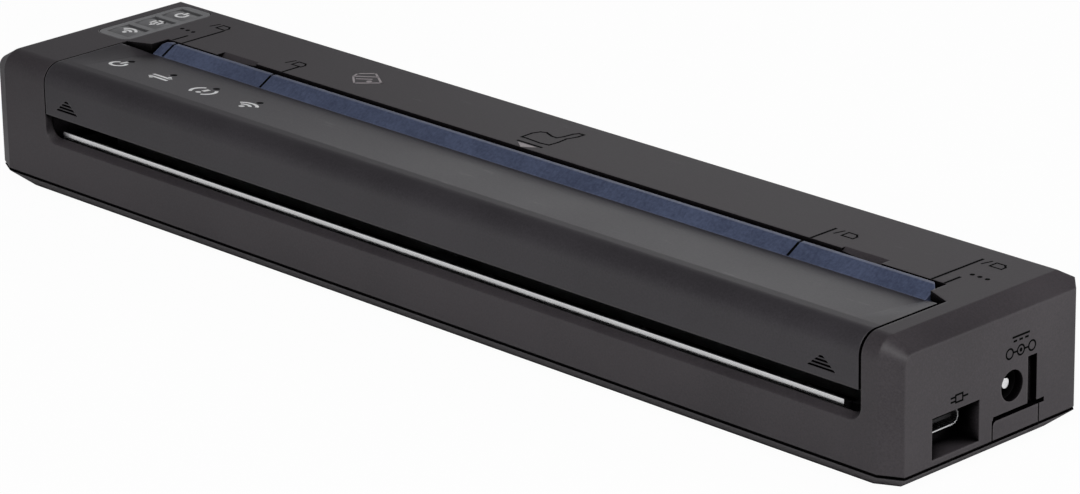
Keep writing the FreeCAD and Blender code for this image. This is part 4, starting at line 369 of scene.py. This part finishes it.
def guide_plastic(name, dark, light, edge_tone):
    """Paper guide polished by sheets: a fine grain that runs across, with lighter flecks."""
    finish = Finish(name, IOR=1.5)
    drawn_out = finish.stretched((1.0, 0.22, 0.22))
    across = finish.noise(size=0.5 * MM, detail=3.0, roughness=0.6, where=drawn_out)
    grain = finish.noise(size=0.6 * MM, detail=4.0, roughness=0.65)
    cloud = finish.noise(size=16 * MM)
    edge_mask = finish.edge(radius=0.5 * MM)
    tone = (grain - 0.5) * 1.3 + (across - 0.5) * 0.6 + (cloud - 0.5) * 0.9 + 0.5
    body = finish.blend(tone.within(0.05, 0.95), dark, light)
    # Paler edges: partly wear, partly a painted highlight along the strip's edges
    finish.set("Base Color", finish.blend(edge_mask * 0.75, body, edge_tone))
    finish.set("Roughness", 0.42 + (grain - 0.5) * 0.2 - edge_mask * 0.08)
    finish.relief(grain * 0.7 + across * 0.3, distance=0.014 * MM, radius=0.2 * MM)
    return finish.material


def rubber(name, dark, light, rough):
    """Dull rubber with a fine grain and some dust."""
    finish = Finish(name, IOR=1.5)
    grain = finish.noise(size=0.35 * MM, detail=4.0, roughness=0.7)
    dust = finish.noise(size=5 * MM, detail=3.0)
    finish.set("Base Color", finish.blend((grain * 0.6 + dust * 0.4).within(0.3, 0.8), dark, light))
    finish.set("Roughness", rough + (grain - 0.5) * 0.2)
    finish.relief(grain, distance=0.02 * MM, radius=0.2 * MM)
    return finish.material


def brushed_metal(name, dark, light, rough, scale=(0.03, 1.0, 1.0), size=0.12 * MM):
    """Metal with fine lines along its length and faint stains."""
    finish = Finish(name)
    lines = finish.noise(size, detail=3.0, roughness=0.6, where=finish.stretched(scale))
    stain = finish.noise(size=4 * MM, detail=3.0)
    edge_mask = finish.edge(radius=0.15 * MM)
    finish.set("Base Color", finish.blend((lines * 0.6 + stain * 0.4).within(0.25, 0.75), dark, light))
    finish.set("Metallic", 1.0)
    finish.set("Roughness", rough + (lines - 0.5) * 0.18 + (stain - 0.5) * 0.1 - edge_mask * 0.08)
    finish.relief(lines, distance=0.003 * MM, strength=0.8, radius=0.12 * MM)
    return finish.material


def turned_metal(name, dark, light, rough):
    """Small metal piece with an even, coarser tone."""
    return brushed_metal(name, dark, light, rough, scale=(1, 1, 1), size=0.3 * MM)


def glazed_ceramic(name):
    """Glazed head plate with fine leads, and the darker line of heating dots under the platen."""
    dots_y = -10 * MM
    finish = Finish(name, IOR=1.55)
    line = 1 - abs(finish.axis(1) - dots_y).within(0.25 * MM, 0.4 * MM)
    leads = finish.stripes(size=3.2 * MM).within(0.3, 0.7)
    cloud = finish.noise(size=3 * MM, detail=3.0)
    tone = (cloud * 0.5 + leads * 0.5).within(0.2, 0.8)
    glaze = finish.blend(tone, (0.42, 0.36, 0.26), (0.66, 0.62, 0.52))
    finish.set("Base Color", finish.blend(line, glaze, (0.07, 0.05, 0.04)))
    finish.set("Roughness", 0.16 + cloud * 0.12)
    finish.relief(cloud + line, distance=0.01 * MM, radius=0.1 * MM)
    return finish.material


def circuit_board(name):
    """Green solder mask over tracks, with tinned pads."""
    tile = 6 * MM
    finish = Finish(name, IOR=1.5)
    tracks = finish.node("ShaderNodeTexBrick", {"offset": 0.37, "squash": 1.6, "squash_frequency": 3}, {
        "Vector": finish.place, "Scale": 1 / tile, "Mortar Size": 0.05, "Mortar Smooth": 0.2,
        "Brick Width": 0.9, "Row Height": 0.22}, "Fac")
    pads = 1 - finish.cells(size=2.6 * MM).within(0.1, 0.14)
    cloud = finish.noise(size=6 * MM, detail=3.0)
    mask = finish.blend(tracks * 0.7 + cloud * 0.3, (0.008, 0.07, 0.035), (0.02, 0.14, 0.06))
    finish.set("Base Color", finish.blend(pads, mask, (0.6, 0.58, 0.52)))
    finish.set("Metallic", pads * 0.9)
    finish.set("Roughness", 0.34 + cloud * 0.15 - pads * 0.1)
    finish.relief(tracks * 0.6 + pads, distance=0.03 * MM, radius=0.1 * MM)
    return finish.material


def chip_body(name, dark, light):
    """Dull moulded casing of a chip."""
    finish = Finish(name, IOR=1.5)
    grain = finish.noise(size=0.12 * MM, detail=3.0, roughness=0.7)
    cloud = finish.noise(size=2 * MM)
    finish.set("Base Color", finish.blend((grain * 0.5 + cloud * 0.5).within(0.3, 0.7), dark, light))
    finish.set("Roughness", 0.55 + (grain - 0.5) * 0.3)
    finish.relief(grain, distance=0.01 * MM, radius=0.1 * MM)
    return finish.material


def lens(name, dark, light):
    """Smoked lens of an indicator lamp."""
    finish = Finish(name, IOR=1.3, Specular_IOR_Level=0.05)
    cloud = finish.noise(size=0.5 * MM)
    rim = finish.edge(radius=0.15 * MM)
    finish.set("Base Color", finish.blend(cloud.within(0.3, 0.7) * 0.6 + rim * 0.4, dark, light))
    finish.set("Roughness", 0.45 + cloud * 0.15)
    finish.relief(cloud, distance=0.004 * MM, strength=0.6, radius=0.05 * MM)
    return finish.material


def lamp_body(name, dark, light):
    """Milky casing of a small lamp."""
    finish = Finish(name, IOR=1.5)
    cloud = finish.noise(size=0.4 * MM)
    finish.set("Base Color", finish.blend(cloud.within(0.3, 0.7), dark, light))
    finish.set("Roughness", 0.25 + cloud * 0.2)
    finish.relief(cloud, distance=0.005 * MM, strength=0.6, radius=0.05 * MM)
    return finish.material


def battery_wrap(name, dark, light):
    """Shrink sleeve over the cells, with a soft seam between one cell and the next."""
    cell_pitch = 67.6 * MM
    finish = Finish(name, IOR=1.5, Coat_Roughness=0.15)
    cell = ((finish.axis(0) - BATTERY_LOW[0] * MM) / cell_pitch).fraction()
    seam = (abs(cell - 0.5) * 2).within(0.955, 0.985)
    wrinkle = finish.noise(size=2.2 * MM, detail=4.0, roughness=0.6, where=finish.stretched((0.5, 1.0, 1.0)))
    finish.set("Base Color", finish.blend((wrinkle * 0.6 + seam * 0.4).within(0.25, 0.8), dark, light))
    finish.set("Roughness", 0.3 + (wrinkle - 0.5) * 0.25)
    finish.set("Coat Weight", 0.4 - seam * 0.3)
    finish.relief(wrinkle * 0.5 - seam, distance=0.12 * MM, radius=0.4 * MM)
    return finish.material


def flex_film(name, dark, light):
    """Amber film with fine copper tracks along it."""
    finish = Finish(name, IOR=1.6)
    tracks = finish.stripes(size=6.4 * MM).within(0.45, 0.6)
    cloud = finish.noise(size=3 * MM, detail=3.0)
    finish.set("Base Color", finish.blend((tracks * 0.8 + cloud * 0.2).within(0.1, 0.9), dark, light))
    finish.set("Metallic", tracks * 0.3)
    finish.set("Roughness", 0.28 + cloud * 0.15)
    finish.relief(tracks, distance=0.02 * MM, radius=0.05 * MM)
    return finish.material


def mark_ink_and_groove_shade(name, dark, light, rough=0.5, shine=0.5):
    """Ink, slightly uneven at its edges and in its cover: printed where it is white or grey, and painted
    shade of engraved grooves where it is near black and dull.
    """
    finish = Finish(name, IOR=1.48, Specular_IOR_Level=shine)
    cover = finish.noise(size=0.25 * MM, detail=3.0, roughness=0.6)
    patch = finish.noise(size=1.5 * MM)
    finish.set("Base Color", finish.blend((cover * 0.6 + patch * 0.4).within(0.3, 0.7), dark, light))
    finish.set("Roughness", rough + (cover - 0.5) * 0.2)
    finish.relief(cover, distance=0.004 * MM, strength=0.8)
    return finish.material


# Finishes, named as the record's material slots
FINISHES = {
    "case_plastic": grained_plastic("case_plastic", (0.028, 0.0238, 0.0272), (0.054, 0.047, 0.052),
                                    (0.11, 0.1, 0.105), 0.5),
    "cover_plastic": grained_plastic("cover_plastic", (0.0225, 0.02, 0.0232), (0.0435, 0.0394, 0.045),
                                     (0.1, 0.095, 0.1), 0.45),
    "guide_blue": guide_plastic("guide_blue", (0.037, 0.048, 0.092), (0.086, 0.109, 0.188),
                                (0.16, 0.18, 0.27)),
    "panel_grey": satin_plastic("panel_grey", (0.15, 0.15, 0.155), (0.24, 0.24, 0.245), 0.45, shade=0.2),
    "key_grey": satin_plastic("key_grey", (0.12, 0.12, 0.124), (0.2, 0.2, 0.206), 0.4, shade=0.2),
    "frame_plastic": satin_plastic("frame_plastic", (0.014, 0.014, 0.015), (0.032, 0.032, 0.034), 0.5,
                                   shade=0.8),
    "gear_plastic": satin_plastic("gear_plastic", (0.5, 0.49, 0.44), (0.68, 0.67, 0.62), 0.38, shade=0.25),
    "roller_rubber": rubber("roller_rubber", (0.014, 0.014, 0.014), (0.035, 0.035, 0.035), 0.62),
    "foot_rubber": rubber("foot_rubber", (0.01, 0.01, 0.01), (0.025, 0.025, 0.025), 0.8),
    "steel": brushed_metal("steel", (0.62, 0.62, 0.63), (0.86, 0.86, 0.87), 0.26),
    "heat_sink": brushed_metal("heat_sink", (0.45, 0.45, 0.47), (0.7, 0.7, 0.72), 0.36),
    "screw_steel": turned_metal("screw_steel", (0.1, 0.1, 0.105), (0.24, 0.24, 0.25), 0.4),
    "pin_brass": turned_metal("pin_brass", (0.5, 0.36, 0.14), (0.78, 0.6, 0.28), 0.26),
    "pin_nickel": turned_metal("pin_nickel", (0.75, 0.75, 0.76), (0.9, 0.9, 0.91), 0.16),
    "ceramic": glazed_ceramic("ceramic"),
    "circuit_board": circuit_board("circuit_board"),
    "chip_black": chip_body("chip_black", (0.012, 0.012, 0.013), (0.03, 0.03, 0.03)),
    "lamp_clear": lens("lamp_clear", (0.0005, 0.0005, 0.0008), (0.002, 0.002, 0.003)),
    "lamp_body": lamp_body("lamp_body", (0.55, 0.53, 0.42), (0.8, 0.79, 0.72)),
    "battery_wrap": battery_wrap("battery_wrap", (0.012, 0.035, 0.11), (0.03, 0.075, 0.2)),
    "flex_film": flex_film("flex_film", (0.28, 0.12, 0.02), (0.55, 0.28, 0.07)),
}
WHITE_INK = mark_ink_and_groove_shade("white_ink", (0.8, 0.8, 0.8), (0.93, 0.93, 0.93))
GREY_INK = mark_ink_and_groove_shade("grey_ink", (0.3, 0.27, 0.28), (0.44, 0.4, 0.41))
# Near-black dull strips that stand for engraved grooves and lines: their darkness is painted shade
GROOVE_SHADE = mark_ink_and_groove_shade("groove_shade", (0.0006, 0.0006, 0.0007), (0.002, 0.002, 0.0022), rough=0.85, shine=0.05)

for part in frame["record"]["subparts"]:
    piece = frame["nodes"][part["node"]]
    finish = FINISHES[part["material_slot"]]
    if not piece.material_slots:
        piece.data.materials.append(finish)
    for slot in piece.material_slots:
        slot.material = finish


# Marks, drawn flat in millimetres and then laid on their surface
THICKNESS = 0.03
SUNK = 0.02
STROKE = 0.36
LAMP_STROKE = 0.75
NOTICE_STROKE = 0.95
KEY_STROKE = 0.65
FEED_STROKE = 0.6
STRIP_STROKE = 0.65
WIDTH_STROKE = 0.6
SHEET_STROKE = 0.42
PRINTER_STROKE = 0.45
CURL_STROKE = 0.5
POLE_STROKE = 0.4
ARC_SPREAD = 55
RING_CORNERS = 40
DISC_CORNERS = 24
RIM_SHARE = 0.15


def deselect():
    if bpy.context.mode != "OBJECT":
        bpy.ops.object.mode_set(mode="OBJECT")
    bpy.ops.object.select_all(action="DESELECT")


def edit():
    bpy.ops.object.mode_set(mode="EDIT")
    bpy.ops.mesh.select_all(action="SELECT")


def raise_faces():
    """Gives a flat stroke its thickness and closes it."""
    bpy.ops.mesh.select_all(action="SELECT")
    bpy.ops.mesh.extrude_region_move(TRANSFORM_OT_translate={"value": (0, 0, THICKNESS * MM)})
    bpy.ops.mesh.select_all(action="SELECT")
    bpy.ops.mesh.normals_make_consistent(inside=False)
    bpy.ops.object.mode_set(mode="OBJECT")
    return bpy.context.object


def bar(start, end, width=STROKE):
    """A straight stroke."""
    deselect()
    start, end = Vector((*start, 0)) * MM, Vector((*end, 0)) * MM
    middle = (start + end) / 2
    run = end - start
    bpy.ops.mesh.primitive_plane_add(size=1, location=middle)
    edit()
    bpy.ops.transform.resize(value=(run.length, width * MM, 1), center_override=middle)
    bpy.ops.transform.rotate(value=-math.atan2(run.y, run.x), orient_axis="Z", center_override=middle)
    return raise_faces()


def line(points, width=STROKE):
    """Straight strokes from point to point; each runs half its width past its ends."""
    strokes = []
    for start, end in zip(points, points[1:]):
        start, end = Vector(start), Vector(end)
        past = (end - start).normalized() * width / 2
        strokes.append(bar(start - past, end + past, width))
    return strokes


def ring(centre, radius, width=STROKE, first=0.0, last=360.0):
    """A ring, or the part of it from first to last degrees."""
    deselect()
    middle = Vector((*centre, 0)) * MM
    inner = (radius - width / 2) * MM
    bpy.ops.mesh.primitive_circle_add(vertices=RING_CORNERS, radius=inner, location=middle)
    edit()
    bpy.ops.mesh.extrude_edges_move()
    grow = (radius + width / 2) / (radius - width / 2)
    bpy.ops.transform.resize(value=(grow, grow, 1), center_override=middle)
    bpy.ops.mesh.select_mode(type="FACE")
    bpy.ops.mesh.select_all(action="DESELECT")
    mesh = bmesh.from_edit_mesh(bpy.context.object.data)
    for face in mesh.faces:
        spot = face.calc_center_median()
        angle = math.degrees(math.atan2(spot.y, spot.x)) % 360
        face.select = not (first <= angle <= last or first <= angle - 360 <= last)
    bmesh.update_edit_mesh(bpy.context.object.data)
    bpy.ops.mesh.delete(type="FACE")
    return raise_faces()


def arc(centre, radius, width, middle, spread=ARC_SPREAD):
    """The part of a ring that reaches spread degrees to each side of middle."""
    return ring(centre, radius, width, middle - spread, middle + spread)


def disc(centre, radius, corners=DISC_CORNERS, turn=0.0, stretch=(1, 1)):
    """A filled round, or a filled shape of few corners."""
    deselect()
    middle = Vector((*centre, 0)) * MM
    bpy.ops.mesh.primitive_circle_add(vertices=corners, radius=radius * MM, fill_type="NGON",
                                      location=middle)
    edit()
    bpy.ops.transform.rotate(value=-math.radians(turn), orient_axis="Z", center_override=middle)
    bpy.ops.transform.resize(value=(*stretch, 1), center_override=middle)
    bpy.ops.mesh.inset(thickness=radius * MM * RIM_SHARE)
    return raise_faces()


def triangle(centre, radius, stretch=(1, 1)):
    """A filled triangle that points to the front."""
    return disc(centre, radius, corners=3, turn=180, stretch=stretch)


def either_side(step):
    """The places a step before the middle, in the middle and a step after it."""
    return -step, 0, step


def lay(name, strokes, surface, body, ink_and_groove_shade):
    """Joins the strokes into one mark and lays it on its surface."""
    deselect()
    for stroke in strokes:
        stroke.select_set(True)
    bpy.context.view_layer.objects.active = strokes[0]
    if len(strokes) > 1:
        bpy.ops.object.join()
    mark = bpy.context.object
    mark.name = name
    mark.data.name = name
    bpy.ops.object.transform_apply(location=True, rotation=True, scale=True)
    mark.matrix_world = surface @ Matrix.Translation((0, 0, -SUNK * MM))
    bpy.ops.object.transform_apply(location=True, rotation=True, scale=True)
    mark.data.materials.clear()
    mark.data.materials.append(ink_and_groove_shade)
    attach(mark, body)


def lay_on_case(name, strokes, surface, ink_and_groove_shade=GROOVE_SHADE):
    """Lays a mark that stays with the housing."""
    lay(name, strokes, surface, "body", ink_and_groove_shade)


# Surfaces that carry marks
COVER_DROP = 1.9
CREST_SETBACK = 6
CREST = COVER_LOW[1] + CREST_SETBACK
SLOPE_RUN = COVER_HIGH[1] - CREST
RAMP_FOOT = STRIP_LOW[1]
RAMP_RUN = 3.4


def at(x, y, z):
    return Matrix.Translation(Vector((x, y, z)) * MM)


def on_cover(x, y):
    """The cover's top, which falls to the rear."""
    z = HOUSING_TOP - COVER_DROP * (y - CREST) / SLOPE_RUN
    return at(x, y, z) @ Matrix.Rotation(-math.atan2(COVER_DROP, SLOPE_RUN), 4, "X")


def on_ramp(x, y):
    """The front slope of the paper guide strip, which rises again to the housing's top."""
    z = HOUSING_TOP - COVER_DROP + COVER_DROP * (y - RAMP_FOOT) / RAMP_RUN
    return at(x, y, z) @ Matrix.Rotation(math.atan2(COVER_DROP, RAMP_RUN), 4, "X")


def on_top(x, y):
    """The level top of the housing."""
    return at(x, y, HOUSING_TOP)


def on_key(name):
    """The middle of a button's crown."""
    low, high = node_box(name)
    return at((low[0] + high[0]) / 2, (low[1] + high[1]) / 2, high[2])


def on_end(y, z):
    """The right end; a mark's width runs to the rear and its height up."""
    turn = Matrix(((0, 0, 1), (1, 0, 0), (0, 1, 0))).to_4x4()
    return at(END_FACE, y, z) @ turn


def power_sign(size, width):
    """A ring that is open at the top, with a bar in the gap."""
    return [arc((0, 0), size, width, middle=-90, spread=145), bar((0, size * 0.3), (0, size * 1.5), width)]


def waves_sign(size, width):
    """A dot with two arcs over it."""
    dot = (0, -size * 0.8)
    arcs = [arc(dot, radius, width, middle=90) for radius in (size, size * 1.85)]
    return [disc(dot, size * 0.38)] + arcs


def arrows_sign():
    """Two half arrows that point apart."""
    right = [(-2.6, 0.7), (2.3, 0.7), (1.3, 1.5)]
    left = [(2.6, -0.7), (-2.3, -0.7), (-1.3, -1.5)]
    return line(right, LAMP_STROKE) + line(left, LAMP_STROKE)


def notice_sign():
    """A bar over a dot, between two arcs."""
    arcs = [arc((0, 0.1), 2.7, LAMP_STROKE, middle) for middle in (180, 0)]
    return [bar((0, -0.1), (0, 1.7), NOTICE_STROKE), disc((0, -1.3), 0.6)] + arcs


def feed_sign():
    """A sheet, open below, with an arrow through it."""
    sheet = line([(-1.1, -0.2), (-1.1, 1.6), (1.1, 1.6), (1.1, -0.2)], FEED_STROKE)
    return sheet + [bar((0, -0.8), (0, 0.8), FEED_STROKE), triangle((0, -1.0), 0.8)]


LAMP_SIGN_SIZE = 1.7
LAMP_SIGN_GAP = 2.2
LAMP_SIGN_SHIFT = -0.2


def lamp_marks():
    """A small sign in front of each indicator lamp."""
    arrows, notice = arrows_sign(), notice_sign()
    power, waves = power_sign(LAMP_SIGN_SIZE, LAMP_STROKE), waves_sign(LAMP_SIGN_SIZE, LAMP_STROKE)
    signs = {"power": power, "data": arrows, "status": notice, "wireless": waves}
    lens_width = LENSES_HIGH[1] - LENSES_LOW[1]
    pitch = (LENSES_HIGH[0] - LENSES_LOW[0] - lens_width) / (len(signs) - 1)
    first = LENSES_LOW[0] + lens_width / 2 + LAMP_SIGN_SHIFT
    for index, (name, strokes) in enumerate(signs.items()):
        place = on_cover(first + pitch * index, LENSES_LOW[1] - LAMP_SIGN_GAP)
        lay(name + "_sign", strokes, place, "cover", WHITE_INK)


def key_marks():
    """Signs on the three buttons."""
    feed = feed_sign()
    waves, power = waves_sign(size=1.35, width=KEY_STROKE), power_sign(size=1.3, width=KEY_STROKE)
    signs = {"wireless": waves, "feed": feed, "power": power}
    for name, strokes in signs.items():
        lay(name + "_key_sign", strokes, on_key(name + "_button"), name + "_key", WHITE_INK)


def sheet_sign(x, y):
    """A small sheet with a cut corner, and a short edge beside it."""
    sheet = [(x - 1.3, y - 1.0), (x + 1.5, y - 1.0), (x + 1.5, y + 0.2), (x + 0.7, y + 1.1),
             (x - 1.3, y + 1.1), (x - 1.3, y - 1.0)]
    return line(sheet, SHEET_STROKE) + line([(x - 3.1, y - 1.0), (x - 2.5, y + 1.1)], SHEET_STROKE)


PAPER_CENTRE = (STRIP_LOW[0] + STRIP_HIGH[0]) / 2
NARROW_SHEET = 148
WIDE_SHEET = 210
RAMP_LINE_PLACE = -1.4
DOTS_PLACE = 9.0
DOTS_STEP = 1.8
DOTS_RADIUS = 0.55
POLES_STEP = 3.1
POLES_RADIUS = 0.95
DASHES_STEP = 1.6
COVER_SIGN_PLACE = (-52.8, 11.8)
USB_SIGN_PLACE = (-11.0, 15.5)
SUPPLY_SIGN_PLACE = (6.2, 19.9)


def width_marks():
    """Lines across the guide strip and the housing behind it that show where sheets of each width lie."""
    narrow_left = PAPER_CENTRE - NARROW_SHEET / 2
    narrow_right = PAPER_CENTRE + NARROW_SHEET / 2
    wide_left = PAPER_CENTRE - WIDE_SHEET / 2
    wide_right = PAPER_CENTRE + WIDE_SHEET / 2
    for label, x in (("narrow_left", narrow_left), ("narrow_right", narrow_right), ("wide_left", wide_left)):
        ramp_line = [bar((0, -1.65), (0, 2.1), STRIP_STROKE)]
        land_line = [bar((0, 0.5), (0, 1.38), STRIP_STROKE)]
        lay(label + "_strip_line", ramp_line, on_ramp(x, RAMP_LINE_PLACE), "cover", GROOVE_SHADE)
        lay(label + "_land_line", land_line, on_top(x, 0), "cover", GROOVE_SHADE)
    # The upright lines of each group as x, front end and rear end, and the place of its sheet
    groups = {
        "narrow_left": ([(narrow_left, 3.8, 7.8)], (narrow_left - 1.1, 9.3)),
        "narrow_right": ([(narrow_right + 0.1, 3.8, 10.4)], (narrow_right + 4.7, 9.4)),
        "wide_left": ([(wide_left + 0.6, 2.5, 13.6), (wide_left - 2.6, 2.6, 6.3)], (wide_left - 1.1, 15.3)),
        "wide_right": ([(wide_right, 2.5, 16.4), (wide_right + 3.1, 2.5, 6.4)], (wide_right + 4.5, 15.6)),
    }
    for label, (uprights, place) in groups.items():
        strokes = []
        for x, start, end in uprights:
            strokes += line([(x, start), (x, end)], WIDTH_STROKE)
        lay_on_case(label + "_line", strokes + sheet_sign(*place), on_top(0, 0))
    for label, x in (("left", wide_left - 5.5), ("right", wide_right + 5.7)):
        dots = [disc((x + step, DOTS_PLACE), DOTS_RADIUS, corners=6) for step in either_side(DOTS_STEP)]
        lay_on_case("wide_" + label + "_dots", dots, on_top(0, 0))


def housing_marks():
    """A small printer with its lid up; a curling sheet with an arrow to the feed slot."""
    outline = [(-3.8, -0.2), (0.5, 2.8), (3.9, 0.6), (-0.2, -3.2), (-3.8, -0.2), (-4.3, 1.6), (-1.6, 4.1),
               (0.5, 2.8)]
    printer = line(outline, PRINTER_STROKE) + line([(-1.9, -0.9), (0.6, 0.9)], PRINTER_STROKE)
    lay_on_case("cover_sign", printer + [disc((1.3, -0.4), 0.6)], on_top(*COVER_SIGN_PLACE), GREY_INK)
    curl = [(-3.0, 7.9), (-3.1, 11.0), (-2.4, 12.6), (-1.2, 13.1), (1.2, 12.2), (2.6, 12.2), (3.1, 13.6),
            (3.4, 16.0), (4.0, 17.0), (5.3, 17.1), (5.3, 15.4), (4.5, 13.0), (4.8, 10.3), (4.6, 8.0),
            (2.4, 7.7), (-1.8, 8.0), (-3.0, 7.9)]
    slot = line([(-2.0, 5.95), (4.5, 5.95)], WIDTH_STROKE)
    lay_on_case("insert_sign", line(curl, CURL_STROKE) + slot, on_top(0, 0))
    lay_on_case("insert_arrow", [triangle((1.2, 4.75), 1.45, stretch=(2.1, 0.85))], on_top(0, 0), GREY_INK)


def socket_marks():
    """Signs over the sockets: a plug, and the poles of the supply under a line and dashes."""
    plug = line([(-0.6, -0.7), (1.3, -0.7), (1.3, 0.7), (-0.6, 0.7), (-0.6, -0.7)])
    plug += line([(1.3, 0), (2.6, 0)])
    plug += line([(-1.8, 0.4), (-0.6, 0.4)]) + line([(-1.8, -0.4), (-0.6, -0.4)])
    lay_on_case("usb_sign", plug, on_end(*USB_SIGN_PLACE))
    supply = [ring((step, 0), POLES_RADIUS) for step in either_side(POLES_STEP)] + [disc((0, 0), 0.4)]
    supply += line([(-2.1, 0), (-1.0, 0)]) + line([(1.0, 0), (2.1, 0)])
    supply += line([(-2.2, 2.9), (2.2, 2.9)], POLE_STROKE)
    supply += [bar((step - 0.5, 2.1), (step + 0.5, 2.1), POLE_STROKE) for step in either_side(DASHES_STEP)]
    lay_on_case("supply_sign", supply, on_end(*SUPPLY_SIGN_PLACE))


lamp_marks()
key_marks()
width_marks()
housing_marks()
socket_marks()


# Floor, surroundings and lamps, in metres
FLOOR_SIZE = 8
FLOOR_TONES = (0.8, 0.8, 0.8), (0.82, 0.82, 0.82)
FLOOR_GLOW = 0.97
FLOOR_GLOSS = 0.6
FLAG_PLACES = (-180 * MM, -135 * MM)
FOOT_REACH = 22 * MM
WINDOW_INSET = 6 * MM
SKY_LEVELS = ((0.0, 0.62), (0.22, 0.42), (0.42, 0.16), (1.0, 0.1))
SKY_BLUE_SHARE = 1.03
LAMPS = {
    "key_softbox": ((0.78, -0.78, 1.15), (0.9, 0.7), 14),
    "right_softbox": ((1.15, 0.45, 0.4), (0.5, 0.5), 4.5),
    "rear_softbox": ((-0.6, 1.3, 0.35), (1.2, 0.3), 1.5),
}


def floor_finish():
    """White to the camera, dim in gloss at the case and left of it, and open under it and from below."""
    finish = Finish("studio_floor")
    cloud = finish.noise(size=0.4)
    finish.set("Base Color", finish.blend(cloud.within(0.3, 0.7), *FLOOR_TONES))
    finish.set("Roughness", 0.8)
    from_end = abs(finish.axis(0)) - END_FACE * MM
    from_front = abs(finish.axis(1)) - REAR_FACE * MM
    flag = finish.axis(0).within(*FLAG_PLACES)
    foot = ((from_end.most(0) ** 2 + from_front.most(0) ** 2) ** 0.5).within(0.0, FOOT_REACH)
    seen = finish.ray("Camera") * FLOOR_GLOW + finish.ray("Glossy") * FLOOR_GLOSS * flag * foot
    glow = finish.node("ShaderNodeEmission", values={"Color": (1, 1, 1), "Strength": 1.0})
    white = finish.mix(seen, finish.body, glow)
    below = finish.node("ShaderNodeNewGeometry", output="Backfacing")
    covered = 1 - from_end.most(from_front).over(-WINDOW_INSET)
    clear = finish.node("ShaderNodeBsdfTransparent")
    finish.show(finish.mix(below.most(covered), white, clear))
    return finish.material


def make_floor():
    deselect()
    bpy.ops.mesh.primitive_plane_add(size=FLOOR_SIZE, location=(0, 0, 0))
    edit()
    bpy.ops.mesh.subdivide(number_cuts=1)
    bpy.ops.object.mode_set(mode="OBJECT")
    floor = bpy.context.object
    floor.name = "studio_floor"
    floor.data.materials.append(floor_finish())


def make_world():
    """White to the camera; a pale band at the horizon that dims upwards, as under a dark ceiling."""
    world = bpy.data.worlds.new("studio")
    bpy.context.scene.world = world
    world.use_nodes = True
    sky = Graph(world.node_tree, "ShaderNodeOutputWorld")
    place = sky.node("ShaderNodeTexCoord", output="Generated")
    height = sky.node("ShaderNodeSeparateXYZ", values={0: place}, output=2)
    stops = [(position, (level, level, level * SKY_BLUE_SHARE)) for position, level in SKY_LEVELS]
    band = sky.node("ShaderNodeValToRGB", {"stops": stops}, {0: height})
    tone = sky.blend(sky.ray("Camera"), band, (1, 1, 1))
    sky.show(sky.node("ShaderNodeBackground", values={0: tone}))


def make_lamp(name, place, size, power):
    data = bpy.data.lights.new(name, "AREA")
    data.shape = "RECTANGLE"
    data.size, data.size_y = size
    data.energy = power
    lamp = bpy.data.objects.new(name, data)
    bpy.context.collection.objects.link(lamp)
    lamp.location = place
    lamp.rotation_euler = (Vector(place) - TARGET).to_track_quat("Z", "Y").to_euler()


make_floor()
make_world()
for lamp_name, (place, size, power) in LAMPS.items():
    make_lamp(lamp_name, place, size, power)

bpy.context.scene.view_settings.view_transform = "Standard"
